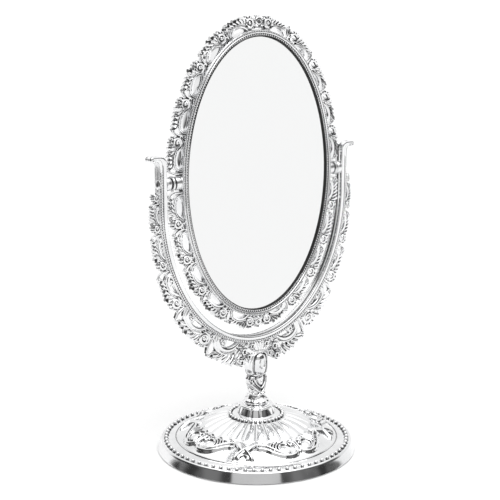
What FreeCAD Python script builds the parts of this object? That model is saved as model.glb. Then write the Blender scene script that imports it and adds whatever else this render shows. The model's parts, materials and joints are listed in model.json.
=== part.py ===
import FreeCAD, Part
import math
import os

# Countertop mirror: an oval two-sided mirror head that turns between the arms of a yoke on a domed foot.
# Millimetres. +Z is up, the front faces -Y, and the origin is the centre of the face it rests on.

V = FreeCAD.Vector
X_AXIS = V(1, 0, 0)
Y_AXIS = V(0, 1, 0)
Z_AXIS = V(0, 0, 1)
SIDES = {"left": -1, "right": 1}

# Foot
foot_radius = 70.0
pad_thickness = 0.5
wall_top_radius = 67.6
wall_top_z = 7.0
strip_outer_radius = 66.8
strip_z = 7.8
relief_outer_radius = 57.8
relief_rise = 0.6
flute_outer_radius = 39.5
flute_outer_z = 16.4
flute_inner_radius = 20.5
flute_inner_z = 24.0
seat_radius = 17.0
seat_z = 25.2
shell_thickness = 1.7
seat_thickness = 2 * shell_thickness
arc_bulge = 0.7

# Inside the foot
cover_radius = 67.0
cover_thickness = 1.5
ballast_radius = 60.0
ballast_hole_radius = 14.0
ballast_thickness = 3.6
screw_count = 4
screw_circle = 50.0
screw_head_radius = 2.6
screw_head_height = 0.8
screw_shank_radius = 1.2
screw_length = 7.0
boss_radius = 3.0
boss_top_z = 11.3
boss_clearance = 0.5
pad_radius = 6.0
pad_circle = 57.0
head_clearance = 0.1

# Collar and stem
collar_radius = 12.7
main_lobe_radius = 7.2
corner_lobe_radius = 4.4
lobe_count = 4
corner_lobe_turn = 180 / lobe_count
collar_wall_height = 7.0
collar_cap_radius = 10.4
collar_cap_height = 1.3
stem_foot_radius = 9.2
stem_waist_radius = 5.6
stem_bulge_radius = 8.0
stem_waist_z = 41.0
stem_bulge_z = 50.0
stem_head_z = 54.0
stem_top_z = 70.0
stem_head_half_width = 9.0
stem_head_half_depth = 5.6
bolt_radius = 2.5
bolt_hole_radius = 2.75
bolt_head_radius = 4.5
bolt_head_height = 4.0
bolt_top_z = 78.0
washer_radius = 7.0
washer_thickness = 1.0
insert_radius = 3.2
insert_height = 9.5

# Mirror head
pivot_z = 194.7
opening_half_width = 59.0
opening_half_height = 92.6
gasket_width = 0.6
gasket_inset = 1.3
bezel_half_width = 63.5
bezel_half_height = 97.1
bezel_depth = 5.5
glass_face_depth = 3.4
glass_thickness = 2.0
glass_overlap = 1.9
pocket_clearance = 0.2
border_half_width = 72.5
border_half_height = 106.9
border_depth = 3.2

# Yoke
yoke_inner_half_width = 75.0
yoke_inner_drop = 97.5
yoke_band_width = 5.0
yoke_half_depth = 4.0
yoke_bowl_z = 180.0
yoke_bar_top_z = 200.0
scroll_half_width = 87.0
scroll_drop = 115.0
scroll_top_z = 190.5
scroll_half_depth = 2.8
root_half_width = 13.0
root_height = 14.0
tip_top_z = 213.0
tip_roll_radius = 1.7
tip_bend_inset = 1.5
tip_flare_sag = 1.7
tip_flare_rise = 1.0
tip_reach = 87.0

# Pivots
barrel_radius = 4.6
barrel_inner_x = 63.4
barrel_outer_x = 70.5
barrel_bore_end_x = 64.0
pivot_end_x = 64.2
pivot_radius = 2.0
pivot_running_gap = 0.05
pivot_head_radius = 3.3
pivot_head_x = 78.6
pivot_head_height = 2.0
friction_radius = 3.8
friction_thickness = 0.6
friction_gap = 0.2
bush_radius = 4.2
notch_half_height = 5.2
notch_inner_x = 65.5

# Pegs that locate the rear halves in the front halves
peg_radius = 0.8
peg_length = 2.0
peg_root = 1.0
peg_gap = 0.05
frame_peg_half_width = 67.8
frame_peg_half_height = 101.8
frame_peg_count = 8
yoke_peg_angles = (-75, -45, -20, 20, 45, 75)
yoke_peg_arm_z = 205.0

shapes = {}


def cylinder_z(radius, z_from, z_to, x=0.0, y=0.0):
    """Upright cylinder between two heights."""
    return Part.makeCylinder(radius, z_to - z_from, V(x, y, z_from), Z_AXIS)


def cylinder_x(radius, x_from, x_to, side):
    """Cylinder on the tilt axis, on one side of the mirror."""
    start = V(side * x_from, 0, pivot_z)
    return Part.makeCylinder(radius, x_to - x_from, start, V(side, 0, 0))


def cylinder_y(radius, y_from, y_to, x, z):
    """Cylinder along Y between two depths."""
    return Part.makeCylinder(radius, y_to - y_from, V(x, y_from, z), Y_AXIS)


def oval_prism(half_width, half_height, y_from, y_to):
    """Elliptical prism about the tilt axis, standing in the mirror's plane."""
    centre = V(0, y_from, pivot_z)
    top = V(0, y_from, pivot_z + half_height)
    side = V(half_width, y_from, pivot_z)
    face = Part.Face(Part.Wire(Part.Ellipse(top, side, centre).toShape()))
    return face.extrude(V(0, y_to - y_from, 0))


def bowl_prism(half_width, drop, top_z, y_from, y_to):
    """U-shaped prism: straight sides above the bowl's centre line and half an ellipse below it."""
    centre = V(0, y_from, yoke_bowl_z)
    lowest = V(0, y_from, yoke_bowl_z - drop)
    side = V(half_width, y_from, yoke_bowl_z)
    ellipse = Part.Ellipse(lowest, side, centre)
    arc = Part.ArcOfEllipse(ellipse, -math.pi / 2, math.pi / 2).toShape()
    start = arc.valueAt(arc.FirstParameter)
    end = arc.valueAt(arc.LastParameter)
    end_top = V(end.x, y_from, top_z)
    start_top = V(start.x, y_from, top_z)
    edges = [
        arc,
        Part.makeLine(end, end_top),
        Part.makeLine(end_top, start_top),
        Part.makeLine(start_top, start),
    ]
    return Part.Face(Part.Wire(edges)).extrude(V(0, y_to - y_from, 0))


def arc_through(start, middle, end):
    """Circular edge through three points."""
    return Part.Arc(start, middle, end).toShape()


def dome_curve(low, high, offset):
    """Gently crowned arc between two points of the dome's section, each given as radius and height."""
    middle_radius = (low[0] + high[0]) / 2
    middle_z = (low[1] + high[1]) / 2 + arc_bulge
    places = (low, (middle_radius, middle_z), high)
    points = [V(radius, 0, z - offset) for radius, z in places]
    return points, arc_through(points[0], points[1], points[2])


def revolve(edges):
    """Solid of revolution about Z from a closed section in the XZ plane."""
    return Part.Face(Part.Wire(edges)).revolve(V(0, 0, 0), Z_AXIS, 360)


def polyline(points):
    """Straight edges that join the points in order."""
    return [Part.makeLine(start, end) for start, end in zip(points, points[1:])]


def ring_positions(count, radius, first_angle):
    """Points at equal steps round the foot's axis."""
    step = 2 * math.pi / count
    angles = [math.radians(first_angle) + step * index for index in range(count)]
    return [(radius * math.cos(angle), radius * math.sin(angle)) for angle in angles]


def cover_top_z():
    """Height of the inside face of the bottom cover."""
    return pad_thickness + cover_thickness


def make_base_shell():
    """Domed foot: tapered wall, flat rim strip, relief zone, fluted zone and the collar's seat."""
    rim = V(foot_radius, 0, pad_thickness)
    wall_top = V(wall_top_radius, 0, wall_top_z)
    strip_edge = V(strip_outer_radius, 0, strip_z)
    relief_foot = V(relief_outer_radius, 0, strip_z)
    relief_low = (relief_outer_radius, strip_z + relief_rise)
    relief_high = (flute_outer_radius, flute_outer_z)
    flute_high = (flute_inner_radius, flute_inner_z)
    outer_relief, outer_relief_arc = dome_curve(relief_low, relief_high, 0)
    outer_flute, outer_flute_arc = dome_curve(relief_high, flute_high, 0)
    inner_relief, inner_relief_arc = dome_curve(relief_low, relief_high, shell_thickness)
    inner_flute, inner_flute_arc = dome_curve(relief_high, flute_high, shell_thickness)
    seat_edge = V(seat_radius, 0, seat_z)
    seat_centre = V(bolt_hole_radius, 0, seat_z)
    under_seat = V(bolt_hole_radius, 0, seat_z - seat_thickness)
    under_edge = V(seat_radius, 0, seat_z - seat_thickness)
    inner_strip = V(wall_top_radius - shell_thickness, 0, strip_z - shell_thickness)
    inner_rim = V(foot_radius - shell_thickness, 0, pad_thickness)
    edges = polyline([rim, wall_top, strip_edge, relief_foot, outer_relief[0]])
    edges += [outer_relief_arc, outer_flute_arc]
    edges += polyline([outer_flute[2], seat_edge, seat_centre, under_seat, under_edge, inner_flute[2]])
    edges += [inner_flute_arc, inner_relief_arc]
    edges += polyline([inner_relief[0], inner_strip, inner_rim, rim])
    shell = revolve(edges)
    pilot_end_z = pad_thickness + screw_head_height + screw_length
    for x, y in ring_positions(screw_count, screw_circle, 0):
        shell = shell.fuse(cylinder_z(boss_radius, cover_top_z(), boss_top_z, x, y))
        shell = shell.cut(cylinder_z(screw_shank_radius, cover_top_z(), pilot_end_z, x, y))
    return shell.removeSplitter()


def make_ballast_disc():
    """Steel weight that rests on the cover, cleared round the screw bosses."""
    low = cover_top_z()
    high = low + ballast_thickness
    disc = cylinder_z(ballast_radius, low, high).cut(cylinder_z(ballast_hole_radius, low, high))
    for x, y in ring_positions(screw_count, screw_circle, 0):
        disc = disc.cut(cylinder_z(boss_radius + boss_clearance, low, high, x, y))
    return disc


def make_bottom_cover():
    """Flat disc that closes the foot, with sunk screw holes."""
    cover = cylinder_z(cover_radius, pad_thickness, cover_top_z())
    sink_z = pad_thickness + screw_head_height
    for x, y in ring_positions(screw_count, screw_circle, 0):
        cover = cover.cut(cylinder_z(screw_head_radius + head_clearance, pad_thickness, sink_z, x, y))
        cover = cover.cut(cylinder_z(screw_shank_radius + head_clearance, sink_z, cover_top_z(), x, y))
    return cover


def make_cover_screws():
    """Identical screws that hold the cover to the bosses."""
    screws = []
    sink_z = pad_thickness + screw_head_height
    for x, y in ring_positions(screw_count, screw_circle, 0):
        head = cylinder_z(screw_head_radius, pad_thickness + head_clearance, sink_z, x, y)
        shank = cylinder_z(screw_shank_radius, sink_z, sink_z + screw_length, x, y)
        screws.append(head.fuse(shank).removeSplitter())
    return Part.makeCompound(screws)


def make_foot_pads():
    """Identical rubber pads, set between the screws."""
    half_step = 180 / screw_count
    places = ring_positions(screw_count, pad_circle, half_step)
    return Part.makeCompound([cylinder_z(pad_radius, 0, pad_thickness, x, y) for x, y in places])


def make_base_collar():
    """Lobed collar: four wide lobes on the axes and four narrow ones between them."""
    wall_top = seat_z + collar_wall_height
    cap_top = wall_top + collar_cap_height
    collar = cylinder_z(collar_cap_radius, seat_z, cap_top)
    for x, y in ring_positions(lobe_count, collar_radius - main_lobe_radius, 0):
        collar = collar.fuse(cylinder_z(main_lobe_radius, seat_z, wall_top, x, y))
    for x, y in ring_positions(lobe_count, collar_radius - corner_lobe_radius, corner_lobe_turn):
        collar = collar.fuse(cylinder_z(corner_lobe_radius, seat_z, wall_top, x, y))
    return collar.cut(cylinder_z(bolt_hole_radius, seat_z, cap_top)).removeSplitter()


def stem_foot_z():
    """Height at which the stem stands on the collar."""
    return seat_z + collar_wall_height + collar_cap_height


def stem_head():
    """Oval block at the stem's top that stands in the notch of the yoke's root."""
    centre = V(0, 0, stem_head_z)
    face = Part.Face(Part.Wire(Part.Ellipse(centre, stem_head_half_width, stem_head_half_depth).toShape()))
    return face.extrude(V(0, 0, stem_top_z - stem_head_z))


def make_stem():
    """Knotted stem: flared foot, waist, bulge and the block that carries the cartouches."""
    foot_z = stem_foot_z()
    neck_radius = (stem_waist_radius + stem_bulge_radius) / 2
    low = V(stem_foot_radius, 0, foot_z)
    foot_top = V(stem_foot_radius - 1, 0, foot_z + 2)
    waist = V(stem_waist_radius, 0, stem_waist_z)
    shoulder = V(neck_radius, 0, (stem_waist_z + stem_bulge_z) / 2)
    bulge = V(stem_bulge_radius, 0, stem_bulge_z)
    neck = V(neck_radius, 0, stem_head_z)
    axis_top = V(0, 0, stem_head_z)
    axis_foot = V(0, 0, foot_z)
    edges = polyline([axis_foot, low, foot_top, waist, shoulder])
    edges += [arc_through(shoulder, bulge, neck)]
    edges += polyline([neck, axis_top, axis_foot])
    body = revolve(edges).fuse(stem_head())
    return body.cut(cylinder_z(bolt_hole_radius, foot_z, stem_top_z)).removeSplitter()


def make_tie_bolt():
    """Bolt that pulls foot, collar, stem and yoke together."""
    shoulder_z = seat_z - seat_thickness - washer_thickness
    head = cylinder_z(bolt_head_radius, shoulder_z - bolt_head_height, shoulder_z)
    return head.fuse(cylinder_z(bolt_radius, shoulder_z, bolt_top_z)).removeSplitter()


def make_tie_washer():
    """Washer between the bolt's head and the inside of the dome."""
    high = seat_z - seat_thickness
    low = high - washer_thickness
    return cylinder_z(washer_radius, low, high).cut(cylinder_z(bolt_hole_radius, low, high))


def make_yoke_insert():
    """Threaded brass insert held between the halves at the yoke's root."""
    high = stem_top_z + insert_height
    return cylinder_z(insert_radius, stem_top_z, high).cut(cylinder_z(bolt_radius, stem_top_z, high))


def yoke_tip(side, y_from, y_to):
    """Flared end of one arm, rolled over outwards."""
    inner_x = yoke_inner_half_width
    outer_x = yoke_inner_half_width + yoke_band_width
    roll_x = tip_reach - tip_roll_radius
    roll_z = tip_top_z - tip_roll_radius

    def at(x, z):
        return V(side * x, y_from, z)

    inner_low = at(inner_x, yoke_bar_top_z)
    inner_bend = at(inner_x, tip_top_z - yoke_band_width)
    bend_middle = at(inner_x + tip_bend_inset, tip_top_z - tip_bend_inset)
    top_start = at(inner_x + yoke_band_width, tip_top_z)
    roll_start = at(roll_x, tip_top_z)
    roll_middle = at(tip_reach, roll_z)
    roll_end = at(roll_x, tip_top_z - 2 * tip_roll_radius)
    flare_middle = at(outer_x + tip_flare_sag, (yoke_bar_top_z + roll_z) / 2 + tip_flare_rise)
    outer_low = at(outer_x, yoke_bar_top_z)
    edges = [
        Part.makeLine(inner_low, inner_bend),
        arc_through(inner_bend, bend_middle, top_start),
        Part.makeLine(top_start, roll_start),
        arc_through(roll_start, roll_middle, roll_end),
        arc_through(roll_end, flare_middle, outer_low),
        Part.makeLine(outer_low, inner_low),
    ]
    return Part.Face(Part.Wire(edges)).extrude(V(0, y_to - y_from, 0))


def yoke_peg_places():
    """Places of the pegs along the middle of the yoke's band."""
    half_width = yoke_inner_half_width + yoke_band_width / 2
    drop = yoke_inner_drop + yoke_band_width / 2
    places = [(side * half_width, yoke_peg_arm_z) for side in SIDES.values()]
    for degrees in yoke_peg_angles:
        angle = math.radians(degrees)
        places.append((half_width * math.sin(angle), yoke_bowl_z - drop * math.cos(angle)))
    return places


def make_yoke_half(facing):
    """One half of the yoke, in front of (-1) or behind (1) the mirror's plane."""
    outer_half_width = yoke_inner_half_width + yoke_band_width
    outer_drop = yoke_inner_drop + yoke_band_width
    back = facing * yoke_half_depth
    scroll_back = facing * scroll_half_depth
    hollow = bowl_prism(yoke_inner_half_width, yoke_inner_drop, tip_top_z, 0, back)
    half = bowl_prism(outer_half_width, outer_drop, yoke_bar_top_z, 0, back)
    half = half.fuse(bowl_prism(scroll_half_width, scroll_drop, scroll_top_z, 0, scroll_back))
    root_low = yoke_bowl_z - scroll_drop
    root = Part.makeBox(2 * root_half_width, yoke_half_depth, root_height)
    root.translate(V(-root_half_width, min(0, back), root_low))
    half = half.fuse(root).cut(hollow)
    for side in SIDES.values():
        half = half.fuse(yoke_tip(side, 0, back))
    notch = Part.makeBox(2 * stem_head_half_width, 2 * yoke_half_depth, stem_top_z - root_low)
    notch.translate(V(-stem_head_half_width, -yoke_half_depth, root_low))
    half = half.cut(notch)
    half = half.cut(cylinder_z(insert_radius, stem_top_z, stem_top_z + insert_height))
    for side in SIDES.values():
        half = half.cut(cylinder_x(pivot_radius, yoke_inner_half_width - 1, outer_half_width + 1, side))
        half = half.cut(cylinder_x(pivot_head_radius, pivot_head_x, scroll_half_width, side))
    for x, z in yoke_peg_places():
        if facing > 0:
            half = half.fuse(cylinder_y(peg_radius, -peg_length, peg_root, x, z))
        else:
            half = half.cut(cylinder_y(peg_radius + peg_gap, -peg_length - peg_gap, 0, x, z))
    return half.removeSplitter()


def frame_peg_places():
    """Places of the pegs round the border, clear of the pivots and the centre line."""
    step = 2 * math.pi / frame_peg_count
    angles = [step * (index + 0.5) for index in range(frame_peg_count)]
    half_width = frame_peg_half_width
    half_height = frame_peg_half_height
    return [(half_width * math.sin(angle), pivot_z + half_height * math.cos(angle)) for angle in angles]


def make_frame_half(facing):
    """One half of the frame: a deep bezel that grips its glass and a thinner border outside it."""
    face_y = facing * bezel_depth
    pocket_y = facing * glass_face_depth
    border_y = facing * border_depth
    pocket_margin = gasket_width + glass_overlap + pocket_clearance
    half = oval_prism(bezel_half_width, bezel_half_height, 0, face_y)
    half = half.fuse(oval_prism(border_half_width, border_half_height, 0, border_y))
    opening_width = opening_half_width + gasket_width
    opening_height = opening_half_height + gasket_width
    half = half.cut(oval_prism(opening_width, opening_height, 0, face_y))
    pocket_width = opening_half_width + pocket_margin
    pocket_height = opening_half_height + pocket_margin
    half = half.cut(oval_prism(pocket_width, pocket_height, 0, pocket_y))
    for side in SIDES.values():
        low_x = min(side * notch_inner_x, side * border_half_width)
        notch = Part.makeBox(border_half_width - notch_inner_x, 2 * bezel_depth, 2 * notch_half_height)
        notch.translate(V(low_x, -bezel_depth, pivot_z - notch_half_height))
        half = half.cut(notch).cut(cylinder_x(barrel_radius, barrel_inner_x, barrel_outer_x, side))
    for x, z in frame_peg_places():
        if facing > 0:
            half = half.fuse(cylinder_y(peg_radius, -peg_length, peg_root, x, z))
        else:
            half = half.cut(cylinder_y(peg_radius + peg_gap, -peg_length - peg_gap, 0, x, z))
    return half.removeSplitter()


def make_gasket(facing):
    """Dark seal that lines the bezel's opening in front of the glass."""
    y_from = facing * glass_face_depth
    y_to = facing * (bezel_depth - gasket_inset)
    outer = oval_prism(opening_half_width + gasket_width, opening_half_height + gasket_width, y_from, y_to)
    return outer.cut(oval_prism(opening_half_width, opening_half_height, y_from, y_to))


def make_glass(facing):
    """Mirror glass behind the bezel's lip."""
    margin = gasket_width + glass_overlap
    y_from = facing * glass_face_depth
    y_to = facing * (glass_face_depth - glass_thickness)
    return oval_prism(opening_half_width + margin, opening_half_height + margin, y_from, y_to)


def make_spacer_pad():
    """Pad that fills the space between the two glasses."""
    margin = gasket_width + glass_overlap - pocket_clearance
    depth = glass_face_depth - glass_thickness
    return oval_prism(opening_half_width + margin, opening_half_height + margin, -depth, depth)


def bush_inner_x():
    """Place along the tilt axis where the bush meets the friction washer."""
    return barrel_outer_x + friction_gap + friction_thickness


def make_pivot_barrel(side):
    """Barrel clamped between the halves of the frame, with a blind bearing bore."""
    barrel = cylinder_x(barrel_radius, barrel_inner_x, barrel_outer_x, side)
    bore_radius = pivot_radius + pivot_running_gap
    return barrel.cut(cylinder_x(bore_radius, barrel_bore_end_x, barrel_outer_x, side))


def make_pivot_screw(side):
    """Screw fixed in the arm, whose plain end turns in the barrel."""
    head = cylinder_x(pivot_head_radius, pivot_head_x, pivot_head_x + pivot_head_height, side)
    return head.fuse(cylinder_x(pivot_radius, pivot_end_x, pivot_head_x, side)).removeSplitter()


def make_friction_washer(side):
    """Washer between the barrel and the bush."""
    low = bush_inner_x() - friction_thickness
    high = bush_inner_x()
    return cylinder_x(friction_radius, low, high, side).cut(cylinder_x(pivot_radius, low, high, side))


def make_pivot_bush(side):
    """Bush between the friction washer and the arm."""
    low = bush_inner_x()
    high = yoke_inner_half_width
    return cylinder_x(bush_radius, low, high, side).cut(cylinder_x(pivot_radius, low, high, side))


def build():
    """Make every piece of the mirror."""
    shapes["base_shell"] = make_base_shell()
    shapes["ballast_disc"] = make_ballast_disc()
    shapes["bottom_cover"] = make_bottom_cover()
    shapes["cover_screws"] = make_cover_screws()
    shapes["foot_pads"] = make_foot_pads()
    shapes["base_collar"] = make_base_collar()
    shapes["stem"] = make_stem()
    shapes["tie_bolt"] = make_tie_bolt()
    shapes["tie_washer"] = make_tie_washer()
    shapes["yoke_insert"] = make_yoke_insert()
    for name, facing in (("front", -1), ("rear", 1)):
        shapes["yoke_" + name + "_half"] = make_yoke_half(facing)
        shapes[name + "_frame"] = make_frame_half(facing)
        shapes[name + "_gasket"] = make_gasket(facing)
        shapes[name + "_glass"] = make_glass(facing)
    shapes["spacer_pad"] = make_spacer_pad()
    for name, side in SIDES.items():
        shapes["pivot_barrel_" + name] = make_pivot_barrel(side)
        shapes["pivot_screw_" + name] = make_pivot_screw(side)
        shapes["friction_washer_" + name] = make_friction_washer(side)
        shapes["pivot_bush_" + name] = make_pivot_bush(side)


build()
os.makedirs("parts", exist_ok=True)
for node, shape in shapes.items():
    shape.exportStep("parts/" + node + ".step")
    print(node, len(shape.Solids), "solids", round(shape.Volume / 1000, 2), "cm3", shape.isValid())
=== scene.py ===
"""Looks of a tilting countertop mirror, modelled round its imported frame.

Every piece is shaped in millimetres and laid down in metres in the frame's own coordinates:
+Z is up and the mirror's front faces -Y.
"""

from __future__ import annotations

import json
import logging
import math
from dataclasses import dataclass
from enum import Enum
from itertools import product
from typing import Callable, Sequence

import bpy
import numpy as np
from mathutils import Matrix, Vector


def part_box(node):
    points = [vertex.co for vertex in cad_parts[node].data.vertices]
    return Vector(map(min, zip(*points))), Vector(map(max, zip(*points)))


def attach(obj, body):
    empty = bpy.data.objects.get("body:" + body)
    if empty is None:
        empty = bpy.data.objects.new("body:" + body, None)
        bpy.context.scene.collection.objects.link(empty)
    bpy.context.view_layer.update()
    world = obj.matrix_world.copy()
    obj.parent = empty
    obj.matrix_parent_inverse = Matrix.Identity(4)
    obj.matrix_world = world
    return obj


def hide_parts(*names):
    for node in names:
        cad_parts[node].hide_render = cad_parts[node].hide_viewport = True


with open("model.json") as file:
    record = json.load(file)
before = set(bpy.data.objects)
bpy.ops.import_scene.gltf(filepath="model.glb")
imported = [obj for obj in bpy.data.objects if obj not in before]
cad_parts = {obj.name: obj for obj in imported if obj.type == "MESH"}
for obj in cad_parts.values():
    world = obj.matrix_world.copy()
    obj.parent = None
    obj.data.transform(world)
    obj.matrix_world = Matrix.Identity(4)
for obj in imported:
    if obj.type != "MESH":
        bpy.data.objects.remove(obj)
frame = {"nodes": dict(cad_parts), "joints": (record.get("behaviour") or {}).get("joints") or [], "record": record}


LOG = logging.getLogger("mirror")
MM = 0.001
MERGE_METRES = 1e-7
TRACK_STEPS = 2400
BEFORE_START = -0.4
PAST_QUARTER = 0.1
BOTH_WAYS = (-1, 1)

Point = tuple[float, float, float]
Place = Callable[[np.ndarray], np.ndarray]
Corners = Sequence[tuple[float, float]]


class Facing(Enum):
    """Side of the mirror's plane that a half stands on."""

    FRONT = -1
    REAR = 1


class Side(Enum):
    """Side of the mirror's centre line."""

    LEFT = -1
    RIGHT = 1


class Body(Enum):
    """Rigid bodies of the frame that pieces ride on."""

    STAND = "stand"
    MIRROR = "mirror"


# --------------------------------------------------------------------------- shader tools


class Socket:
    """A shader value that can be used in ordinary arithmetic."""

    def __init__(self, graph: "Graph", output: bpy.types.NodeSocket) -> None:
        """Wraps one output socket of a graph."""
        self.graph = graph
        self.output = output

    def _math(self, operation: str, *values: object) -> "Socket":
        """Adds one Math node that works on the values in order."""
        inputs = dict(enumerate(values))
        return self.graph.node("ShaderNodeMath", {"operation": operation}, inputs)

    def __add__(self, other: object) -> "Socket":
        """self + other."""
        return self._math("ADD", self, other)

    def __radd__(self, other: object) -> "Socket":
        """other + self."""
        return self._math("ADD", other, self)

    def __sub__(self, other: object) -> "Socket":
        """self - other."""
        return self._math("SUBTRACT", self, other)

    def __rsub__(self, other: object) -> "Socket":
        """other - self."""
        return self._math("SUBTRACT", other, self)

    def __mul__(self, other: object) -> "Socket":
        """self * other."""
        return self._math("MULTIPLY", self, other)

    def __rmul__(self, other: object) -> "Socket":
        """other * self."""
        return self._math("MULTIPLY", other, self)

    def __truediv__(self, other: object) -> "Socket":
        """self / other."""
        return self._math("DIVIDE", self, other)

    def step(self, low: float, high: float) -> "Socket":
        """Smooth rise from 0 at low to 1 at high.

        Args:
            low: Where the rise starts.
            high: Where it ends.

        Returns:
            The value.
        """
        settings = {"interpolation_type": "SMOOTHSTEP"}
        inputs = {"Value": self, "From Min": low, "From Max": high, "To Min": 0.0, "To Max": 1.0}
        return self.graph.node("ShaderNodeMapRange", settings, inputs)

    def root(self) -> "Socket":
        """Square root."""
        return self._math("SQRT", self)

    def biggest(self, other: object) -> "Socket":
        """The larger of two values."""
        return self._math("MAXIMUM", self, other)


class Graph:
    """The node tree of one material or of the world."""

    def __init__(self, owner: bpy.types.ID) -> None:
        """Empties the owner's node tree and keeps it.

        Args:
            owner: A material or a world.
        """
        owner.use_nodes = True
        self.tree = owner.node_tree
        self.tree.nodes.clear()

    def node(
        self,
        kind: str,
        settings: dict | None = None,
        inputs: dict | None = None,
        output: object = 0,
    ) -> Socket:
        """Adds a node.

        Args:
            kind: Blender's name for the node type.
            settings: Attributes that are set before the inputs.
            inputs: Values or links by socket name or index.
            output: Name or index of the output that is wrapped.

        Returns:
            The wrapped output socket.
        """
        made = self.tree.nodes.new(kind)
        for name, value in (settings or {}).items():
            setattr(made, name, value)
        for key, value in (inputs or {}).items():
            if isinstance(value, Socket):
                self.tree.links.new(value.output, made.inputs[key])
            else:
                made.inputs[key].default_value = value
        found = made.outputs[output] if len(made.outputs) else None
        return Socket(self, found)

    def position(self) -> Socket:
        """Object coordinates."""
        return self.node("ShaderNodeTexCoord", output="Object")

    def noise(self, scale: float, detail: float = 2.0, roughness: float = 0.5) -> Socket:
        """Fractal noise on object coordinates, from 0 to 1."""
        inputs = {
            "Vector": self.position(), "Scale": scale, "Detail": detail, "Roughness": roughness
        }
        return self.node("ShaderNodeTexNoise", None, inputs, "Fac")

    def hollows(self, reach: float) -> Socket:
        """Openness of the surface round a point from ambient occlusion: 0 deep in a hollow, 1 out in the open; it
        masks painted shade.
        """
        settings = {"samples": 8, "only_local": True}
        return self.node("ShaderNodeAmbientOcclusion", settings, {"Distance": reach}, "AO")

    def blend(self, factor: Socket, low: object, high: object) -> Socket:
        """Colour that goes from low to high with the factor.

        Args:
            factor: Share of the high colour.
            low: Red, green and blue, or a link.
            high: Red, green and blue, or a link.

        Returns:
            The colour.
        """
        ends = [end if isinstance(end, Socket) else (*end, 1.0) for end in (low, high)]
        inputs = {0: factor, 6: ends[0], 7: ends[1]}
        return self.node("ShaderNodeMix", {"data_type": "RGBA"}, inputs, 2)

    def bump(self, height: Socket, strength: float, distance: float) -> Socket:
        """Normal that is tilted by a height."""
        inputs = {"Strength": strength, "Distance": distance, "Height": height}
        return self.node("ShaderNodeBump", None, inputs, "Normal")

    def surface(self, inputs: dict) -> None:
        """Ends the tree in a Principled shader.

        Args:
            inputs: Values or links of the shader's sockets.
        """
        shader = self.node("ShaderNodeBsdfPrincipled", None, inputs, "BSDF")
        self.node("ShaderNodeOutputMaterial", None, {"Surface": shader})


@dataclass(frozen=True)
class Plating:
    """Bright chrome plating with painted shade darkening its crevices, over a slightly uneven ground."""

    name: str
    # Colour of the painted shade that ambient occlusion lays into crevices, then its reach and mask edges.
    crevice_shade: tuple[float, float, float] = (0.08, 0.08, 0.083)
    shade_reach: float = 0.0024
    shade_edge: tuple[float, float] = (0.04, 0.68)
    bright: tuple[float, float, float] = (0.9, 0.902, 0.907)
    dull: tuple[float, float, float] = (0.76, 0.764, 0.772)
    roughness: float = 0.05
    haze: float = 0.09
    waviness: float = 0.00008
    wave_scale: float = 55.0

    def make(self) -> bpy.types.Material:
        """Builds the material.

        Returns:
            The material.
        """
        material = bpy.data.materials.new(self.name)
        graph = Graph(material)
        cloud = graph.noise(40.0, 3.0)
        specks = graph.noise(900.0, 2.0)
        wave = graph.noise(self.wave_scale, 1.0)
        patch = cloud.step(0.35, 0.75)
        rough = self.roughness + patch * self.haze + specks * 0.02
        normal = graph.bump(wave + specks * 0.03, 1.0, self.waviness)
        plate = graph.blend(patch, self.bright, self.dull)
        # Painted shade: ambient occlusion blends the plating towards the dark shade colour in crevices.
        unshaded = graph.hollows(self.shade_reach).step(*self.shade_edge)
        colour = graph.blend(unshaded, self.crevice_shade, plate)
        graph.surface({"Base Color": colour, "Metallic": 1.0, "Roughness": rough, "Normal": normal})
        return material


@dataclass(frozen=True)
class Silvering:
    """Silvered glass: a clean mirror with the faintest haze of polish."""

    name: str
    tint: tuple[float, float, float] = (0.816, 0.82, 0.82)
    haze_tint: tuple[float, float, float] = (0.811, 0.815, 0.815)

    def make(self) -> bpy.types.Material:
        """Builds the material.

        Returns:
            The material.
        """
        material = bpy.data.materials.new(self.name)
        graph = Graph(material)
        haze = graph.noise(18.0, 4.0).step(0.45, 0.8)
        colour = graph.blend(haze, self.tint, self.haze_tint)
        rough = haze * 0.012
        graph.surface(
            {
                "Base Color": colour,
                "Metallic": 1.0,
                "Roughness": rough,
                "Coat Weight": 0.3,
                "Coat Roughness": 0.02,
            }
        )
        return material


@dataclass(frozen=True)
class Plain:
    """Plain matt or satin stuff such as rubber, moulded plastic, foam or bare metal."""

    name: str
    light: tuple[float, float, float]
    dark: tuple[float, float, float]
    roughness: float
    metallic: float = 0.0
    grain_scale: float = 1400.0
    grain: float = 0.00003

    def make(self) -> bpy.types.Material:
        """Builds the material.

        Returns:
            The material.
        """
        material = bpy.data.materials.new(self.name)
        graph = Graph(material)
        grain = graph.noise(self.grain_scale, 3.0)
        cloud = graph.noise(60.0, 3.0).step(0.3, 0.75)
        colour = graph.blend(cloud, self.light, self.dark)
        rough = self.roughness + (grain - 0.5) * 0.15
        normal = graph.bump(grain, 0.6, self.grain)
        graph.surface(
            {"Base Color": colour, "Metallic": self.metallic, "Roughness": rough, "Normal": normal}
        )
        return material


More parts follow.
